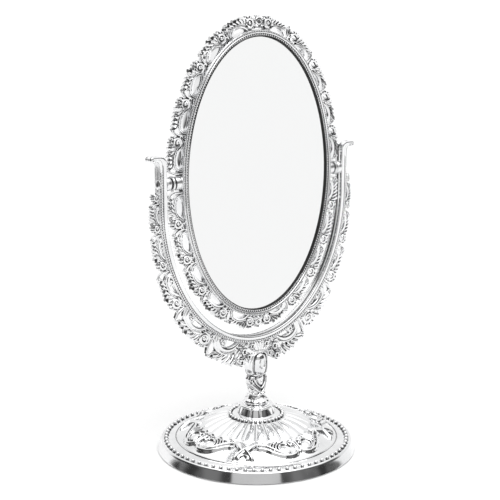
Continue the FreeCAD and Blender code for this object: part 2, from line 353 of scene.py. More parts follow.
class Finishes:
    """Every finish of the object, by the record's slot names."""

    def __init__(self) -> None:
        """Builds each material once."""
        recipes = {
            # Every plating paints shade into its crevices from ambient occlusion; the per-finish reach and edge
            # settings set how far and how dark it goes.
            "plated_shell": Plating(
                "shell_chrome", shade_reach=0.002, shade_edge=(0.26, 0.9), waviness=0.00004
            ),
            "plated_casting": Plating("casting_chrome", wave_scale=120.0, waviness=0.00005),
            "plated_pivot": Plating(
                "pivot_chrome",
                shade_edge=(0.3, 0.95),
                roughness=0.26,
                haze=0.05,
                waviness=0.00002,
            ),
            "mirror_glass": Silvering("silvered_glass"),
            "gasket_black": Plain("seal_black", (0.008, 0.008, 0.008), (0.004, 0.004, 0.004), 0.6),
            "pad_rubber": Plain(
                "pad_rubber_black", (0.045, 0.045, 0.047), (0.03, 0.03, 0.032), 0.75
            ),
            "cover_plastic": Plain(
                "cover_plastic_black", (0.06, 0.06, 0.063), (0.04, 0.04, 0.043), 0.5
            ),
            "washer_nylon": Plain(
                "washer_nylon_black", (0.05, 0.05, 0.052), (0.035, 0.035, 0.037), 0.35
            ),
            "pad_foam": Plain(
                "spacer_foam", (0.2, 0.2, 0.21), (0.12, 0.12, 0.13), 0.9, grain=0.0002
            ),
            "ballast_steel": Plain(
                "pressed_steel", (0.45, 0.45, 0.46), (0.3, 0.29, 0.28), 0.5, 1.0
            ),
            "screw_steel": Plain("zinc_steel", (0.72, 0.72, 0.74), (0.6, 0.6, 0.62), 0.32, 1.0),
            "insert_brass": Plain("turned_brass", (0.8, 0.62, 0.28), (0.7, 0.52, 0.22), 0.3, 1.0),
        }
        self.by_slot = {slot: recipe.make() for slot, recipe in recipes.items()}
        # This plating paints heavier shade into the stem's deep relief.
        deep = Plating(
            "shaded_relief_chrome", shade_edge=(0.4, 0.97), wave_scale=120.0, waviness=0.00005
        )
        self.shaded_relief = deep.make()

    def dress(
        self, piece: bpy.types.Object, slot: str, finish: bpy.types.Material | None = None
    ) -> None:
        """Gives a piece the finish of one slot, or a finish of its own that belongs to that slot.

        Args:
            piece: The mesh.
            slot: The record's material slot.
            finish: A finish of the piece's own.
        """
        piece.data.materials.clear()
        piece.data.materials.append(finish or self.by_slot[slot])

    def dress_nodes(self, record: dict, nodes: dict[str, bpy.types.Object]) -> None:
        """Gives every node of the frame the finish of its slot.

        Args:
            record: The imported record.
            nodes: The frame's objects by node name.
        """
        for row in record["subparts"]:
            node = nodes[row["node"]]
            for index in range(len(node.material_slots)):
                node.material_slots[index].material = self.by_slot[row["material_slot"]]


# --------------------------------------------------------------------------- places


def xyz(x: np.ndarray, y: np.ndarray, z: np.ndarray) -> np.ndarray:
    """Rows of points from their three coordinates."""
    return np.stack([x, y, z], 1)


def round_z(radius: np.ndarray, azimuth: np.ndarray, height: np.ndarray) -> np.ndarray:
    """Rows of points round the Z axis, with azimuths counted from the front."""
    return xyz(radius * np.sin(azimuth), -radius * np.cos(azimuth), height)


def between(corners: Corners, shares: np.ndarray) -> tuple[np.ndarray, np.ndarray]:
    """Both coordinates on an open line of corners.

    Args:
        corners: The line's corners in order.
        shares: 0 is the first corner, 1 the last, and each side counts the same.

    Returns:
        First and second coordinates.
    """
    rows = np.array(corners, dtype=float)
    stops = np.linspace(0.0, 1.0, len(rows))
    return np.interp(shares, stops, rows[:, 0]), np.interp(shares, stops, rows[:, 1])


def crossed(profile: Corners, shares: np.ndarray) -> tuple[np.ndarray, np.ndarray]:
    """Both coordinates on a closed moulding profile, at shares of the way round it."""
    return between([*profile, profile[0]], shares)


# --------------------------------------------------------------------------- modelling bench



@dataclass(frozen=True)
class Stroke:
    """A round rod with its own thickness at every point of its path, in millimetres."""

    points: tuple[Point, ...]
    radii: tuple[float, ...]


class Bench:
    """Makes, shapes and joins meshes with the operators."""

    @staticmethod
    def pick(*objects: bpy.types.Object) -> None:
        """Selects the given objects alone, the first one active.

        Args:
            objects: The objects.
        """
        bpy.ops.object.select_all(action="DESELECT")
        for obj in objects:
            obj.select_set(True)
        bpy.context.view_layer.objects.active = objects[0]

    @staticmethod
    def started(name: str) -> bpy.types.Object:
        """Names the object that an operator has just added.

        Args:
            name: The name.

        Returns:
            The object.
        """
        obj = bpy.context.object
        obj.name = name
        obj.data.name = name
        return obj

    @staticmethod
    def points(obj: bpy.types.Object) -> np.ndarray:
        """Vertex positions of a mesh as an array of rows.

        Args:
            obj: The mesh.

        Returns:
            One row for each vertex.
        """
        flat = np.empty(len(obj.data.vertices) * 3)
        obj.data.vertices.foreach_get("co", flat)
        return flat.reshape(-1, 3)

    @staticmethod
    def shape(obj: bpy.types.Object, place: Place) -> bpy.types.Object:
        """Moves every vertex of a mesh to where a formula puts it.

        Args:
            obj: The mesh.
            place: Turns rows of points into rows of points.

        Returns:
            The same mesh.
        """
        moved = place(Bench.points(obj))
        obj.data.vertices.foreach_set("co", np.ascontiguousarray(moved, dtype=float).ravel())
        obj.data.update()
        return obj

    @staticmethod
    def close(obj: bpy.types.Object, gap: float) -> bpy.types.Object:
        """Merges doubled vertices and turns every shell's faces outwards.

        Args:
            obj: The mesh.
            gap: Vertices nearer than this are merged.

        Returns:
            The same mesh.
        """
        Bench.pick(obj)
        bpy.ops.object.mode_set(mode="EDIT")
        bpy.ops.mesh.select_all(action="SELECT")
        bpy.ops.mesh.remove_doubles(threshold=gap)
        bpy.ops.mesh.normals_make_consistent(inside=False)
        bpy.ops.object.mode_set(mode="OBJECT")
        return obj

    @staticmethod
    def cap(obj: bpy.types.Object) -> bpy.types.Object:
        """Fills every open end with a face.

        Args:
            obj: The mesh.

        Returns:
            The same mesh.
        """
        Bench.pick(obj)
        bpy.ops.object.mode_set(mode="EDIT")
        bpy.ops.mesh.select_all(action="DESELECT")
        bpy.ops.mesh.select_non_manifold()
        bpy.ops.mesh.fill_holes(sides=0)
        bpy.ops.object.mode_set(mode="OBJECT")
        return obj

    @staticmethod
    def sheet(
        name: str, columns: int, rows: int, place: Place, gap: float = 1e-4
    ) -> bpy.types.Object:
        """Grid of faces laid over a surface that closes on itself.

        Args:
            name: Name of the mesh.
            columns: Faces along u.
            rows: Faces along v.
            place: Turns rows of (u, v), each from 0 to 1, into points in millimetres.
            gap: Vertices nearer than this are merged.

        Returns:
            The closed mesh.
        """
        bpy.ops.object.select_all(action="DESELECT")
        bpy.ops.mesh.primitive_grid_add(x_subdivisions=columns, y_subdivisions=rows, size=1.0)
        obj = Bench.started(name)
        Bench.shape(obj, lambda co: place(co[:, :2] + 0.5))
        return Bench.close(obj, gap)

    @staticmethod
    def turned(name: str, outline: Corners, steps: int) -> bpy.types.Object:
        """Turned piece about Z.

        Args:
            name: Name of the mesh.
            outline: Radius and height of each corner, from the axis round to the axis.
            steps: Faces round the turn.

        Returns:
            The closed mesh, in millimetres.
        """

        def place(uv: np.ndarray) -> np.ndarray:
            """Skin of the turned piece.

            Args:
                uv: Shares along the grid's two sides, from 0 to 1.

            Returns:
                Points in millimetres.
            """
            radius, height = between(outline, uv[:, 1])
            angle = uv[:, 0] * math.tau
            return xyz(radius * np.cos(angle), radius * np.sin(angle), height)

        return Bench.sheet(name, steps, len(outline) - 1, place)

    @staticmethod
    def rods(
        name: str, strokes: Sequence[Stroke], facets: int = 1, fineness: int = 2
    ) -> bpy.types.Object:
        """Rods of changing thickness, each closed at both ends, as one mesh.

        Args:
            name: Name of the mesh.
            strokes: The rods.
            facets: Roundness of the section.
            fineness: Steps between two points of a path.

        Returns:
            The mesh, in millimetres.
        """
        curve = bpy.data.curves.new(name, "CURVE")
        curve.dimensions = "3D"
        curve.bevel_depth = 1.0
        curve.bevel_resolution = facets
        curve.use_fill_caps = True
        curve.resolution_u = fineness
        for stroke in strokes:
            spline = curve.splines.new("NURBS")
            spline.points.add(len(stroke.points) - 1)
            for index, (point, radius) in enumerate(zip(stroke.points, stroke.radii)):
                spline.points[index].co = (*point, 1.0)
                spline.points[index].radius = radius
            spline.order_u = 3
            spline.use_endpoint_u = True
        obj = bpy.data.objects.new(name, curve)
        bpy.context.scene.collection.objects.link(obj)
        Bench.pick(obj)
        bpy.ops.object.convert(target="MESH")
        return Bench.started(name)

    @staticmethod
    def ball(
        name: str, centre: Point, radius: float, segments: int = 10, rings: int = 6
    ) -> bpy.types.Object:
        """Round bead, pressed a little flatter towards its back.

        Args:
            name: Name of the mesh.
            centre: Middle of the bead.
            radius: Radius of the bead.
            segments: Faces round it.
            rings: Faces from top to bottom.

        Returns:
            The mesh, in millimetres.
        """
        bpy.ops.object.select_all(action="DESELECT")
        bpy.ops.mesh.primitive_uv_sphere_add(segments=segments, ring_count=rings, radius=radius)
        obj = Bench.started(name)
        middle = np.array(centre)
        return Bench.shape(obj, lambda co: co * np.array([1.0, 1.0, 0.9]) + middle)

    @staticmethod
    def copies(name: str, seed: bpy.types.Object, places: Sequence[Place]) -> bpy.types.Object:
        """Copies of a seed mesh, each laid where its own formula puts it, as one mesh.

        Args:
            name: Name of the new mesh.
            seed: The mesh that repeats. It is left as it is.
            places: One formula for each copy.

        Returns:
            The joined copies.
        """
        points = Bench.points(seed)
        faces = [tuple(face.vertices) for face in seed.data.polygons]
        laid = [place(points) for place in places]
        shifted = []
        for index in range(len(laid)):
            start = index * len(points)
            shifted += [tuple(corner + start for corner in face) for face in faces]
        mesh = bpy.data.meshes.new(name)
        mesh.from_pydata(np.concatenate(laid).tolist(), [], shifted)
        obj = bpy.data.objects.new(name, mesh)
        bpy.context.scene.collection.objects.link(obj)
        return obj

    @staticmethod
    def beads(
        name: str, radius: float, middles: Sequence[Point], segments: int = 8, rings: int = 5
    ) -> bpy.types.Object:
        """Equal beads as one mesh.

        Args:
            name: Name of the mesh.
            radius: Radius of a bead.
            middles: Where the beads go.
            segments: Faces round a bead.
            rings: Faces from its top to its bottom.

        Returns:
            The beads, in millimetres.
        """
        seed = Bench.ball("bead", (0.0, 0.0, 0.0), radius, segments, rings)
        places = [lambda co, middle=np.array(middle): co + middle for middle in middles]
        row = Bench.copies(name, seed, places)
        Bench.drop(seed)
        return row

    @staticmethod
    def join(name: str, parts: Sequence[bpy.types.Object]) -> bpy.types.Object:
        """Joins meshes into one object.

        Args:
            name: Name of the joined mesh.
            parts: The meshes.

        Returns:
            The mesh, in millimetres.
        """
        Bench.pick(*parts)
        bpy.ops.object.join()
        return Bench.started(name)

    @staticmethod
    def drop(*objects: bpy.types.Object) -> None:
        """Removes meshes that were only patterns."""
        for obj in objects:
            bpy.data.objects.remove(obj)

    @staticmethod
    def faced(obj: bpy.types.Object, facing: Facing) -> bpy.types.Object:
        """Puts a half that was built for the front on its own side of the mirror's plane."""
        return Bench.shape(obj, lambda co: co * np.array([1.0, -facing.value, 1.0]))

    @staticmethod
    def finish(obj: bpy.types.Object, smooth_degrees: float) -> bpy.types.Object:
        """Turns millimetres into metres, faces outwards and smooths the shading.

        Args:
            obj: The mesh.
            smooth_degrees: Edges blunter than this are shaded smooth.

        Returns:
            The mesh, in metres.
        """
        Bench.shape(obj, lambda co: co * MM)
        Bench.close(obj, MERGE_METRES)
        Bench.pick(obj)
        bpy.ops.object.shade_smooth_by_angle(angle=math.radians(smooth_degrees))
        return obj

    @staticmethod
    def lay_back(obj: bpy.types.Object, depth: float) -> bpy.types.Object:
        """Gives relief a flat back: all that lies under its own plane goes down to one depth.

        Args:
            obj: The mesh.
            depth: Depth of the flat back.

        Returns:
            The same mesh.
        """

        def place(co: np.ndarray) -> np.ndarray:
            """Keeps what stands over the plane and levels the rest."""
            flat = co.copy()
            flat[:, 2] = np.where(co[:, 2] < -1e-4, -depth, co[:, 2])
            return flat

        return Bench.shape(obj, place)


def hand_over(
    piece: bpy.types.Object,
    body: Body,
    node: str,
    finishes: Finishes,
    slot: str,
    smooth_degrees: float,
    finish: bpy.types.Material | None = None,
) -> bpy.types.Object:
    """Finishes a piece, gives it to its body and dresses it.

    Args:
        piece: The mesh, still in millimetres.
        body: The body that it rides on.
        node: The CAD node that it stands for.
        finishes: The object's finishes.
        slot: The record's material slot.
        smooth_degrees: Edges blunter than this are shaded smooth.
        finish: A finish of the piece's own.

    Returns:
        The piece, in metres.
    """
    Bench.finish(piece, smooth_degrees)
    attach(piece, body.value)
    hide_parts(node)
    finishes.dress(piece, slot, finish)
    return piece


def rod(points: Sequence[tuple[float, ...]], radii: Sequence[float]) -> Stroke:
    """Rod from flat or spatial points."""
    spatial = tuple((point[0], point[1], point[2] if len(point) > 2 else 0.0) for point in points)
    return Stroke(spatial, tuple(radii))


def finger(
    root: tuple[float, float],
    tip: tuple[float, float],
    thin: float,
    thick: float,
    lift: float = 0.0,
) -> Stroke:
    """Frond that swells towards a rounded tip.

    Args:
        root: Where the frond starts.
        tip: Where it ends.
        thin: Radius at the root.
        thick: Radius near the tip.
        lift: Height of the tip over the relief's plane.

    Returns:
        The rod.
    """
    shares = (0.0, 0.35, 0.7, 0.88, 0.97, 1.0)
    radii = (thin, (thin + thick) / 2, thick, thick * 0.9, thick * 0.55, thick * 0.12)
    points = []
    for share in shares:
        x = root[0] + (tip[0] - root[0]) * share
        y = root[1] + (tip[1] - root[1]) * share
        points.append((x, y, lift * math.sin(share * math.pi / 2)))
    return rod(points, radii)


def coil(
    centre: tuple[float, float],
    radii: tuple[float, float],
    start_degrees: float,
    turns: float,
    thickness: tuple[float, float],
    rise: float = 0.0,
    steps_per_turn: int = 9,
) -> Stroke:
    """Flat spiral that winds inwards.

    Args:
        centre: Middle of the spiral.
        radii: Outer and inner radius of its line.
        start_degrees: Direction of the outer end.
        turns: Number of turns, negative for clockwise.
        thickness: Rod radius at the outer and at the inner end.
        rise: Height gained by the inner end.
        steps_per_turn: Points in one turn.

    Returns:
        The rod.
    """
    count = max(4, int(abs(turns) * steps_per_turn))
    points = []
    thick = []
    for index in range(count + 1):
        share = index / count
        angle = math.radians(start_degrees) + share * turns * math.tau
        reach = radii[0] + (radii[1] - radii[0]) * share
        points.append(
            (centre[0] + reach * math.cos(angle), centre[1] + reach * math.sin(angle), rise * share)
        )
        thick.append(thickness[0] + (thickness[1] - thickness[0]) * share)
    thick[0] *= 0.6
    thick[-1] *= 0.5
    return rod(points, thick)


# --------------------------------------------------------------------------- lines to build along


class Track:
    """A line in the mirror's plane with its outward normal, measured on a guide outside it."""

    def __init__(self, x: np.ndarray, z: np.ndarray, zero: int, guide: float) -> None:
        """Keeps the line and measures it.

        Args:
            x: Places of the line's points.
            z: Heights of the line's points.
            zero: Index of the point that lengths are counted from.
            guide: Distance of the guide outside the line.
        """
        run = np.gradient(x)
        climb = np.gradient(z)
        length = np.hypot(run, climb)
        normal = np.stack([-climb / length, run / length], 1)
        if normal[zero, 1] * z[zero] < 0:
            normal = -normal
        self.line = np.stack([x, z], 1)
        self.normal = normal
        guided = self.line + guide * normal
        steps = np.hypot(*np.diff(guided, axis=0).T)
        total = np.concatenate([[0.0], np.cumsum(steps)])
        self.length = total - total[zero]

    @classmethod
    def oval(cls, half_width: float, half_height: float, guide: float) -> "Track":
        """Quarter of an oval from its top to its side, drawn on a little past both ends.

        Args:
            half_width: Half of the width.
            half_height: Half of the height.
            guide: Distance of the guide outside the line.

        Returns:
            The line.
        """
        angle = np.linspace(BEFORE_START, math.pi / 2 + PAST_QUARTER, TRACK_STEPS)
        zero = int(np.argmin(np.abs(angle)))
        track = cls(half_width * np.sin(angle), half_height * np.cos(angle), zero, guide)
        track.quarter = float(np.interp(math.pi / 2, angle, track.length))
        return track

    @classmethod
    def bowl(cls, half_width: float, drop: float, arm: float, guide: float) -> "Track":
        """Half of a U from its lowest point up one arm, with heights from the bowl's centre.

        Args:
            half_width: Half of the width.
            drop: Height from the lowest point to the centre.
            arm: Length of the straight arm.
            guide: Distance of the guide outside the line.

        Returns:
            The line.
        """
        angle = np.linspace(BEFORE_START, math.pi / 2, TRACK_STEPS)
        zero = int(np.argmin(np.abs(angle)))
        straight = np.linspace(0.0, arm, 400)[1:]
        x = np.concatenate([half_width * np.sin(angle), np.full(len(straight), half_width)])
        z = np.concatenate([-drop * np.cos(angle), straight])
        return cls(x, z, zero, guide)

    def at(self, along: np.ndarray, out: np.ndarray) -> tuple[np.ndarray, np.ndarray]:
        """Places and heights at lengths along the guide and distances outside the line.

        Args:
            along: Lengths along the guide.
            out: Distances outside the line.

        Returns:
            Places and heights.
        """
        columns = [
            np.interp(along, self.length, column)
            for column in (*self.line.T, *self.normal.T)
        ]
        return columns[0] + out * columns[2], columns[1] + out * columns[3]

    def paced(self, total: float, count: int, out: float) -> list[tuple[float, float]]:
        """Place and height of evenly paced points, each in the middle of its step."""
        along = (np.arange(count) + 0.5) * total / count
        return list(zip(*self.at(along, np.full(count, out))))



@dataclass(frozen=True)
class Ridge:
    """Raised line of a low relief: a path with a half width and a height at every point."""

    points: tuple[tuple[float, float], ...]
    half_widths: tuple[float, ...]
    heights: tuple[float, ...]
    flatness: float = 0.5

    def samples(self, spacing: float) -> tuple[np.ndarray, np.ndarray, np.ndarray]:
        """Close places along the smooth line through the points, with width and height there.

        Args:
            spacing: Distance from one place to the next.

        Returns:
            Places, widths and heights.
        """
        corners = np.array([self.points[0], *self.points, self.points[-1]], dtype=float)
        places = []
        marks = []
        for index in range(len(self.points) - 1):
            a, b, c, d = corners[index : index + 4]
            count = max(2, int(np.hypot(*(c - b)) / spacing))
            t = (np.arange(count) / count)[:, None]
            cubic = 2 * a - 5 * b + 4 * c - d
            places.append(
                0.5 * (2 * b + (c - a) * t + cubic * t**2 + (3 * b - a - 3 * c + d) * t**3)
            )
            marks.append(index + t[:, 0])
        place = np.concatenate([*places, corners[-1:]])
        mark = np.concatenate([*marks, [len(self.points) - 1.0]])
        stops = np.arange(len(self.points))
        return place, np.interp(mark, stops, self.half_widths), np.interp(mark, stops, self.heights)


class Emboss:
    """Height map of a low relief, worked out once on a close grid and then read anywhere."""

    def __init__(
        self, size: tuple[float, float, float, float], ridges: Sequence[Ridge], cell: float = 0.16
    ) -> None:
        """Adds the ridges up, the highest one showing at each place.

        Args:
            size: Lowest x, highest x, lowest y and highest y.
            ridges: The raised lines.
            cell: Spacing of the grid.
        """
        self.x = np.arange(size[0], size[1] + cell, cell)
        self.y = np.arange(size[2], size[3] + cell, cell)
        grid_x, grid_y = np.meshgrid(self.x, self.y, indexing="ij")
        self.map = np.zeros(grid_x.shape)
        for ridge in ridges:
            places, widths, heights = ridge.samples(cell)
            for place, width, height in zip(places, widths, heights):
                near_x = slice(*np.searchsorted(self.x, (place[0] - width, place[0] + width)))
                near_y = slice(*np.searchsorted(self.y, (place[1] - width, place[1] + width)))
                away = np.hypot(
                    grid_x[near_x, near_y] - place[0], grid_y[near_x, near_y] - place[1]
                ) / width
                rise = height * np.clip(1.0 - away**2, 0.0, 1.0) ** ridge.flatness
                self.map[near_x, near_y] = np.maximum(self.map[near_x, near_y], rise)

    def at(self, x: np.ndarray, y: np.ndarray) -> np.ndarray:
        """Heights at any places, from the four grid points round each.

        Args:
            x: First coordinates of the places.
            y: Second coordinates.

        Returns:
            Heights in millimetres.
        """
        column = np.clip((x - self.x[0]) / (self.x[1] - self.x[0]), 0, len(self.x) - 1.001)
        row = np.clip((y - self.y[0]) / (self.y[1] - self.y[0]), 0, len(self.y) - 1.001)
        i, j = column.astype(int), row.astype(int)
        u, v = column - i, row - j
        low = self.map[i, j] * (1 - u) + self.map[i + 1, j] * u
        high = self.map[i, j + 1] * (1 - u) + self.map[i + 1, j + 1] * u
        return low * (1 - v) + high * v


# --------------------------------------------------------------------------- scrollwork


@dataclass(frozen=True)
class ScrollUnit:
    """One repeat of the pierced scrollwork: a coiled rosette, an arch and a comb of fronds.

    It is drawn flat: x runs along the border, y outwards from the mouldings and z to the viewer.
    """

    pitch: float = 25.3
    edge: float = 4.5
    tip: float = 14.0
    back: float = 1.7

    def rosette(self, x: float, size: float) -> list[Stroke]:
        """Coil with petals outside it and a small curl that ties it to the mouldings.

        Args:
            x: Place of the coil along the border.
            size: Scale of the whole coil.

        Returns:
            The rods.
        """
        middle = (x, self.edge + 4.9)
        strokes = [coil(middle, (3.5 * size, 1.5 * size), -58, -1.4, (1.1, 0.7), 0.8)]
        for degrees, reach in ((52, 4.75), (82, 4.95), (112, 4.9), (143, 4.7)):
            angle = math.radians(degrees)
            root = (
                middle[0] + 3.3 * size * math.cos(angle), middle[1] + 3.3 * size * math.sin(angle)
            )
            end = (
                middle[0] + reach * size * math.cos(angle),
                middle[1] + reach * size * math.sin(angle),
            )
            strokes.append(finger(root, end, 0.6, 0.98, 0.25))
        strokes.append(
            coil((x - 3.7 * size, self.edge + 1.9), (1.5, 0.5), 20, 1.1, (0.6, 0.42), 0.3, 8)
        )
        strokes.append(
            rod(
                [
                    (x - 2.0, self.edge - 0.4), (x - 0.9, self.edge + 0.9),
                    (x + 0.2, self.edge + 1.7),
                ],
                (0.7, 0.75, 0.6),
            )
        )
        return strokes

    def arch(self) -> list[Stroke]:
        """Double ridge that springs from the coil and lands on the mouldings.

        Returns:
            The rods.
        """
        e = self.edge
        inner = [
            (2.2, e + 0.4), (4.4, e + 2.6), (8.2, e + 4.3), (12.4, e + 4.5), (15.6, e + 3.3),
            (17.2, e + 1.2), (17.4, e - 0.4),
        ]
        outer = [
            (3.4, e + 3.6), (7.2, e + 5.6), (12.2, e + 6.0), (16.4, e + 4.6), (18.3, e + 1.9),
            (18.7, e - 0.3),
        ]
        return [
            rod(inner, (0.7, 1.0, 1.2, 1.3, 1.3, 1.1, 0.8)),
            rod(outer, (0.35, 0.5, 0.62, 0.66, 0.6, 0.5)),
        ]

    def comb(self) -> list[Stroke]:
        """Fronds that lean away from the coil, shorter towards the next one.

        Returns:
            The rods.
        """
        strokes = []
        for index in range(5):
            root_x = 3.4 + 2.35 * index
            rise = 5.2 + 0.9 * math.sin(math.pi * (root_x - 2.0) / 17.0)
            root = (root_x, self.edge + rise)
            end = (root_x + 1.6 + 0.5 * index, self.tip - 0.1 - 0.3 * index)
            middle = (0.62 * root[0] + 0.38 * end[0] - 0.35, 0.5 * (root[1] + end[1]) + 0.35, 0.45)
            thick = 1.12 + 0.14 * math.cos(math.pi * index)
            strokes.append(rod([root, middle, (*end, 0.6)], (0.5, 0.85 * thick, thick)))
        return strokes

    def link(self) -> list[Stroke]:
        """Bar and hooked frond between the arch and the next coil.

        Returns:
            The rods.
        """
        e = self.edge
        bar = [(19.9, e - 0.3), (20.4, e + 2.6), (20.2, e + 5.8), (18.9, e + 8.2)]
        hook = [(14.6, e + 5.9), (16.6, e + 6.9), (18.2, e + 8.3), (17.9, e + 9.2), (16.9, e + 9.0)]
        return [rod(bar, (0.6, 0.72, 0.72, 0.5)), rod(hook, (0.4, 0.55, 0.65, 0.6, 0.4))]

    def inner_curl(self) -> list[Stroke]:
        """Curl that hangs inside the arch, over the opening."""
        tail = rod(
            [(16.6, self.edge + 3.0), (14.6, self.edge + 3.4), (12.6, self.edge + 2.9)],
            (0.6, 0.8, 0.8),
        )
        return [tail, coil((12.6, self.edge + 1.6), (1.7, 0.5), 80, 1.2, (0.8, 0.5), 0.3)]

    def make(self, name: str, whole: bool = True, curled: bool = False) -> bpy.types.Object:
        """Builds one repeat.

        Args:
            name: Name of the mesh.
            whole: False leaves out the arch, comb and link.
            curled: True adds the curl inside the arch.

        Returns:
            The flat-backed relief, in millimetres.
        """
        strokes = self.rosette(0.0, 1.0)
        if whole:
            strokes += self.arch() + self.comb() + self.link()
        if curled:
            strokes += self.inner_curl()
        relief = Bench.rods(name, strokes)
        eye = Bench.ball("eye", (0.0, self.edge + 4.9, 0.55), 1.25)
        unit = Bench.join(name, [relief, eye])
        return Bench.lay_back(unit, self.back)


@dataclass(frozen=True)
class Blossom:
    """Small coiled flower with short petals, used where two runs of scrollwork meet."""

    petals: int = 6
    ring: float = 1.95
    petal_root: float = 2.2
    petal_tip: float = 3.2

    def make(self, name: str, back: float) -> bpy.types.Object:
        """Builds the flower round the origin, flat behind.

        Args:
            name: Name of the mesh.
            back: Depth of the flat back.

        Returns:
            The mesh, in millimetres.
        """
        strokes = [coil((0.0, 0.0), (self.ring, 1.15), 200, 1.45, (0.95, 0.6), 0.55)]
        for index in range(self.petals):
            angle = math.tau * (index + 0.5) / self.petals
            root = (self.petal_root * math.cos(angle), self.petal_root * math.sin(angle))
            tip = (self.petal_tip * math.cos(angle), self.petal_tip * math.sin(angle))
            strokes.append(finger(root, tip, 0.6, 0.9, 0.0))
        return Bench.lay_back(Bench.rods(name, strokes), back)


@dataclass(frozen=True)
class Spot:
    """Where one repeat of scrollwork goes on a track."""

    along: float
    stretch: float = 1.0
    spread: float = 1.0
    depth: float = 1.0
    flip: int = 1


def laid(
    track: Track,
    spot: Spot,
    side: int,
    up: int,
    centre_z: float,
    edge: float,
    base: float,
    back: float,
) -> Place:
    """Formula that bends flat scrollwork round a track.

    Args:
        track: The line that the scrollwork follows.
        spot: Its place and scale.
        side: -1 for the left, 1 for the right.
        up: 1 where heights count upwards from the centre, -1 for the mirrored half.
        centre_z: Height of the track's centre.
        edge: Distance outside the track's line where the scrollwork's own edge lies.
        base: The scrollwork's own edge in its flat drawing.
        back: Depth of the scrollwork's flat back under its plane.

    Returns:
        The formula. It lays the relief in front of the mirror's plane, towards -Y.
    """

    def place(co: np.ndarray) -> np.ndarray:
        """Bends one repeat of scrollwork to the track."""
        along = spot.along + spot.flip * co[:, 0] * spot.stretch
        out = edge + (co[:, 1] - base) * spot.spread
        x, z = track.at(along, out)
        depth = (co[:, 2] + back) * spot.depth
        return xyz(side * x, -depth, centre_z + up * z)

    return place


# --------------------------------------------------------------------------- mirror head


